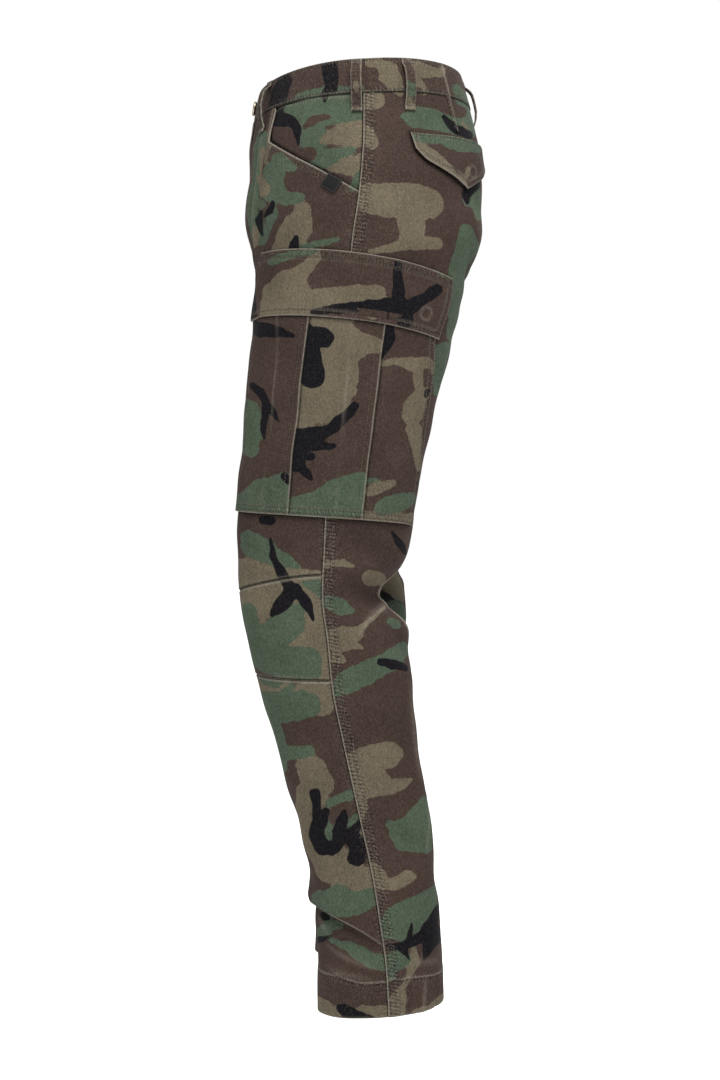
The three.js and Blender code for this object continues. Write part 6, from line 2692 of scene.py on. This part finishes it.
@dataclass(frozen=True)
class TabCloth:
    """The black woven tab, with a painted highlight along its edges."""

    name: str = "black_woven_tab"
    dye: tuple = tone(0.004, 0.004, 0.0045)
    edge: tuple = tone(0.047, 0.045, 0.043)

    def build(self) -> bpy.types.Material:
        """The tab's material.

        Returns:
            The material.
        """
        tree = Tree(self.name)
        worn, _, _ = tree.attribute("marks")
        grain = tree.noise(0.8, 1.0)
        # Painted highlight along the tab's edges, carried in the wear mark.
        colour = tree.mix(self.dye, self.edge, (worn * (0.5 + grain)).clamped())
        tree.set(Base_Color=colour, Roughness=0.7, Normal=tree.bump(grain + 0.5, 0.2, 0.4))
        tree.set(**{"Specular IOR Level": 0.12})
        return tree.material


@dataclass(frozen=True)
class ButtonMetal:
    """Dark antiqued metal with rubbed high spots."""

    name: str = "antique_button_metal"
    dark: tuple = tone(0.16, 0.13, 0.095)
    rubbed: tuple = tone(0.46, 0.4, 0.31)

    def build(self) -> bpy.types.Material:
        """The metal's material.

        Returns:
            The material.
        """
        tree = Tree(self.name)
        patch = (tree.noise(3.2, 3.0) * 2.2 + 0.45).clamped()
        tree.set(Base_Color=tree.mix(self.dark, self.rubbed, patch), Metallic=1.0)
        tree.set(Roughness=0.34 + tree.noise(1.2, 2.0) * 0.25, Normal=tree.bump(patch, 0.05, 0.3))
        return tree.material


@dataclass(frozen=True)
class PaleFloor:
    """A plain pale studio floor."""

    name: str = "studio_floor"
    paint: tuple = tone(0.86, 0.86, 0.86)
    glow: float = 0.18

    def build(self) -> bpy.types.Material:
        """The floor's material.

        Returns:
            The material.
        """
        tree = Tree(self.name)
        grain = tree.noise(30, 2.0)
        tree.set(Base_Color=tree.shade(self.paint, 1 + grain * 0.02), Roughness=0.9)
        tree.set(Emission_Color=tone(1, 1, 1), Emission_Strength=self.glow)
        tree.set(**{"Specular IOR Level": 0.1})
        return tree.material


@dataclass
class Studio:
    """The photo's camera, and a pale floor, a pale surround and soft light."""

    eye: tuple = (2.0, -0.0036, -0.5296)
    lens: float = 55.887
    sensor: float = 36.0
    floor: float = -1.3
    reach: float = 30.0
    surround: float = 0.5
    exposure: float = 1.02
    key: float = 50.0
    key_size: float = 1.3
    key_place: tuple = (1.5, 0.3, 2.0)
    fill: float = 12.0
    aim: tuple = (0.0, 0.0, -0.5)

    def build(self) -> None:
        """Sets up the camera, the surround, the floor and the lights."""
        scene = bpy.context.scene
        scene.view_settings.view_transform = "Standard"
        scene.view_settings.exposure = self.exposure
        self._camera(scene)
        self._surround(scene)
        self._floor()
        self._light("key_light", self.key_place, self.key, self.key_size)
        self._light("back_fill", (-2.2, 1.2, 0.8), self.fill, 2.0)

    def _camera(self, scene: bpy.types.Scene) -> None:
        """The camera that took the photo.

        Args:
            scene: the scene.
        """
        data = bpy.data.cameras.new("photo_camera")
        data.lens, data.sensor_width = self.lens, self.sensor
        data.clip_start, data.clip_end = 0.05, 200
        data.dof.use_dof = False
        camera = bpy.data.objects.new("photo_camera", data)
        camera.location = self.eye
        camera.rotation_euler = (math.pi / 2, 0, math.pi / 2)
        scene.collection.objects.link(camera)
        scene.camera = camera

    def _surround(self, scene: bpy.types.Scene) -> None:
        """An even pale surround.

        Args:
            scene: the scene.
        """
        world = bpy.data.worlds.new("surround")
        world.use_nodes = True
        background = world.node_tree.nodes["Background"]
        background.inputs[0].default_value = tone(1, 1, 1)
        background.inputs[1].default_value = self.surround
        scene.world = world

    def _floor(self) -> None:
        """The floor, a wide flat slab."""
        reach, z = self.reach, self.floor
        corners = [(-reach, -reach), (reach, -reach), (reach, reach), (-reach, reach)]
        points = np.array([(x, y, h) for h in (z, z - 0.02) for x, y in corners])
        sides = [(k, k + 4, (k + 1) % 4 + 4, (k + 1) % 4) for k in range(4)]
        faces = np.array([(0, 1, 2, 3), (7, 6, 5, 4)] + sides)
        floor = solid_from("floor", points, faces, np.zeros(6))
        floor.data.materials.append(PaleFloor().build())

    def _light(self, name: str, place: tuple, power: float, size: float) -> None:
        """A large soft square light that faces the garment.

        Args:
            name: its name.
            place: where it stands.
            power: its power in watts.
            size: its side in metres.
        """
        data = bpy.data.lights.new(name, "AREA")
        data.energy, data.size, data.shape = power, size, "SQUARE"
        light = bpy.data.objects.new(name, data)
        light.location = place
        toward = Vector(self.aim) - Vector(place)
        light.rotation_euler = toward.to_track_quat("-Z", "Y").to_euler()
        bpy.context.scene.collection.objects.link(light)


@dataclass
class Trousers:
    """The whole garment, piece by piece."""

    shop: Workshop

    LOOPS = (
        ("front_left", Leg.LEFT, -140, 0, 0, 6),
        ("front_right", Leg.RIGHT, -140, 0, 0, 6),
        ("side_left", Leg.LEFT, -7, 0, 0, 0),
        ("side_right", Leg.RIGHT, -7, 0, 0, 0),
        ("back_left", Leg.LEFT, 48, 5, 0, 0),
        ("back_right", Leg.RIGHT, 48, 5, 0, 0),
        ("centre_back", Leg.LEFT, math.inf, 0, 1, 0),
    )

    def build(self) -> None:
        """Builds every piece and the sewing."""
        shop = self.shop
        for leg in Leg:
            for part in Part:
                LegPanel(shop, leg, part).build()
            for piece in (HipPatch, Waistband, CargoPocket, CargoFlap, BackFlap, BackDart):
                piece(shop, leg).build()
        for row in self.LOOPS:
            BeltLoop(shop, *row).build()
        for piece in (FlyPlacket, PocketTab, WaistButton):
            piece(shop).build()
        for region in sorted(shop.sewing.runs):
            stitches = shop.sewing.build(region)
            thread = "tab" if region.endswith("tab") else "thread"
            stitches.data.materials.append(shop.finishes[thread])
            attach(stitches, BODY)
            LOG.info("%s: %d faces", region, len(stitches.data.polygons))


def main() -> None:
    """Builds the garment and the studio."""
    logging.basicConfig(level=logging.INFO, format="%(name)s: %(message)s")
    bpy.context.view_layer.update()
    form = GarmentForm()
    finishes = {
        "camo": CamoCloth().build(),
        "inside": InsideCloth().build(),
        "thread": Thread().build(),
        "tab": TabCloth().build(),
        "metal": ButtonMetal().build(),
    }
    shop = Workshop(form, PanelRows(form), Print(), Sewing(), finishes)
    Trousers(shop).build()
    Studio().build()


if __name__ == "__main__":
    main()
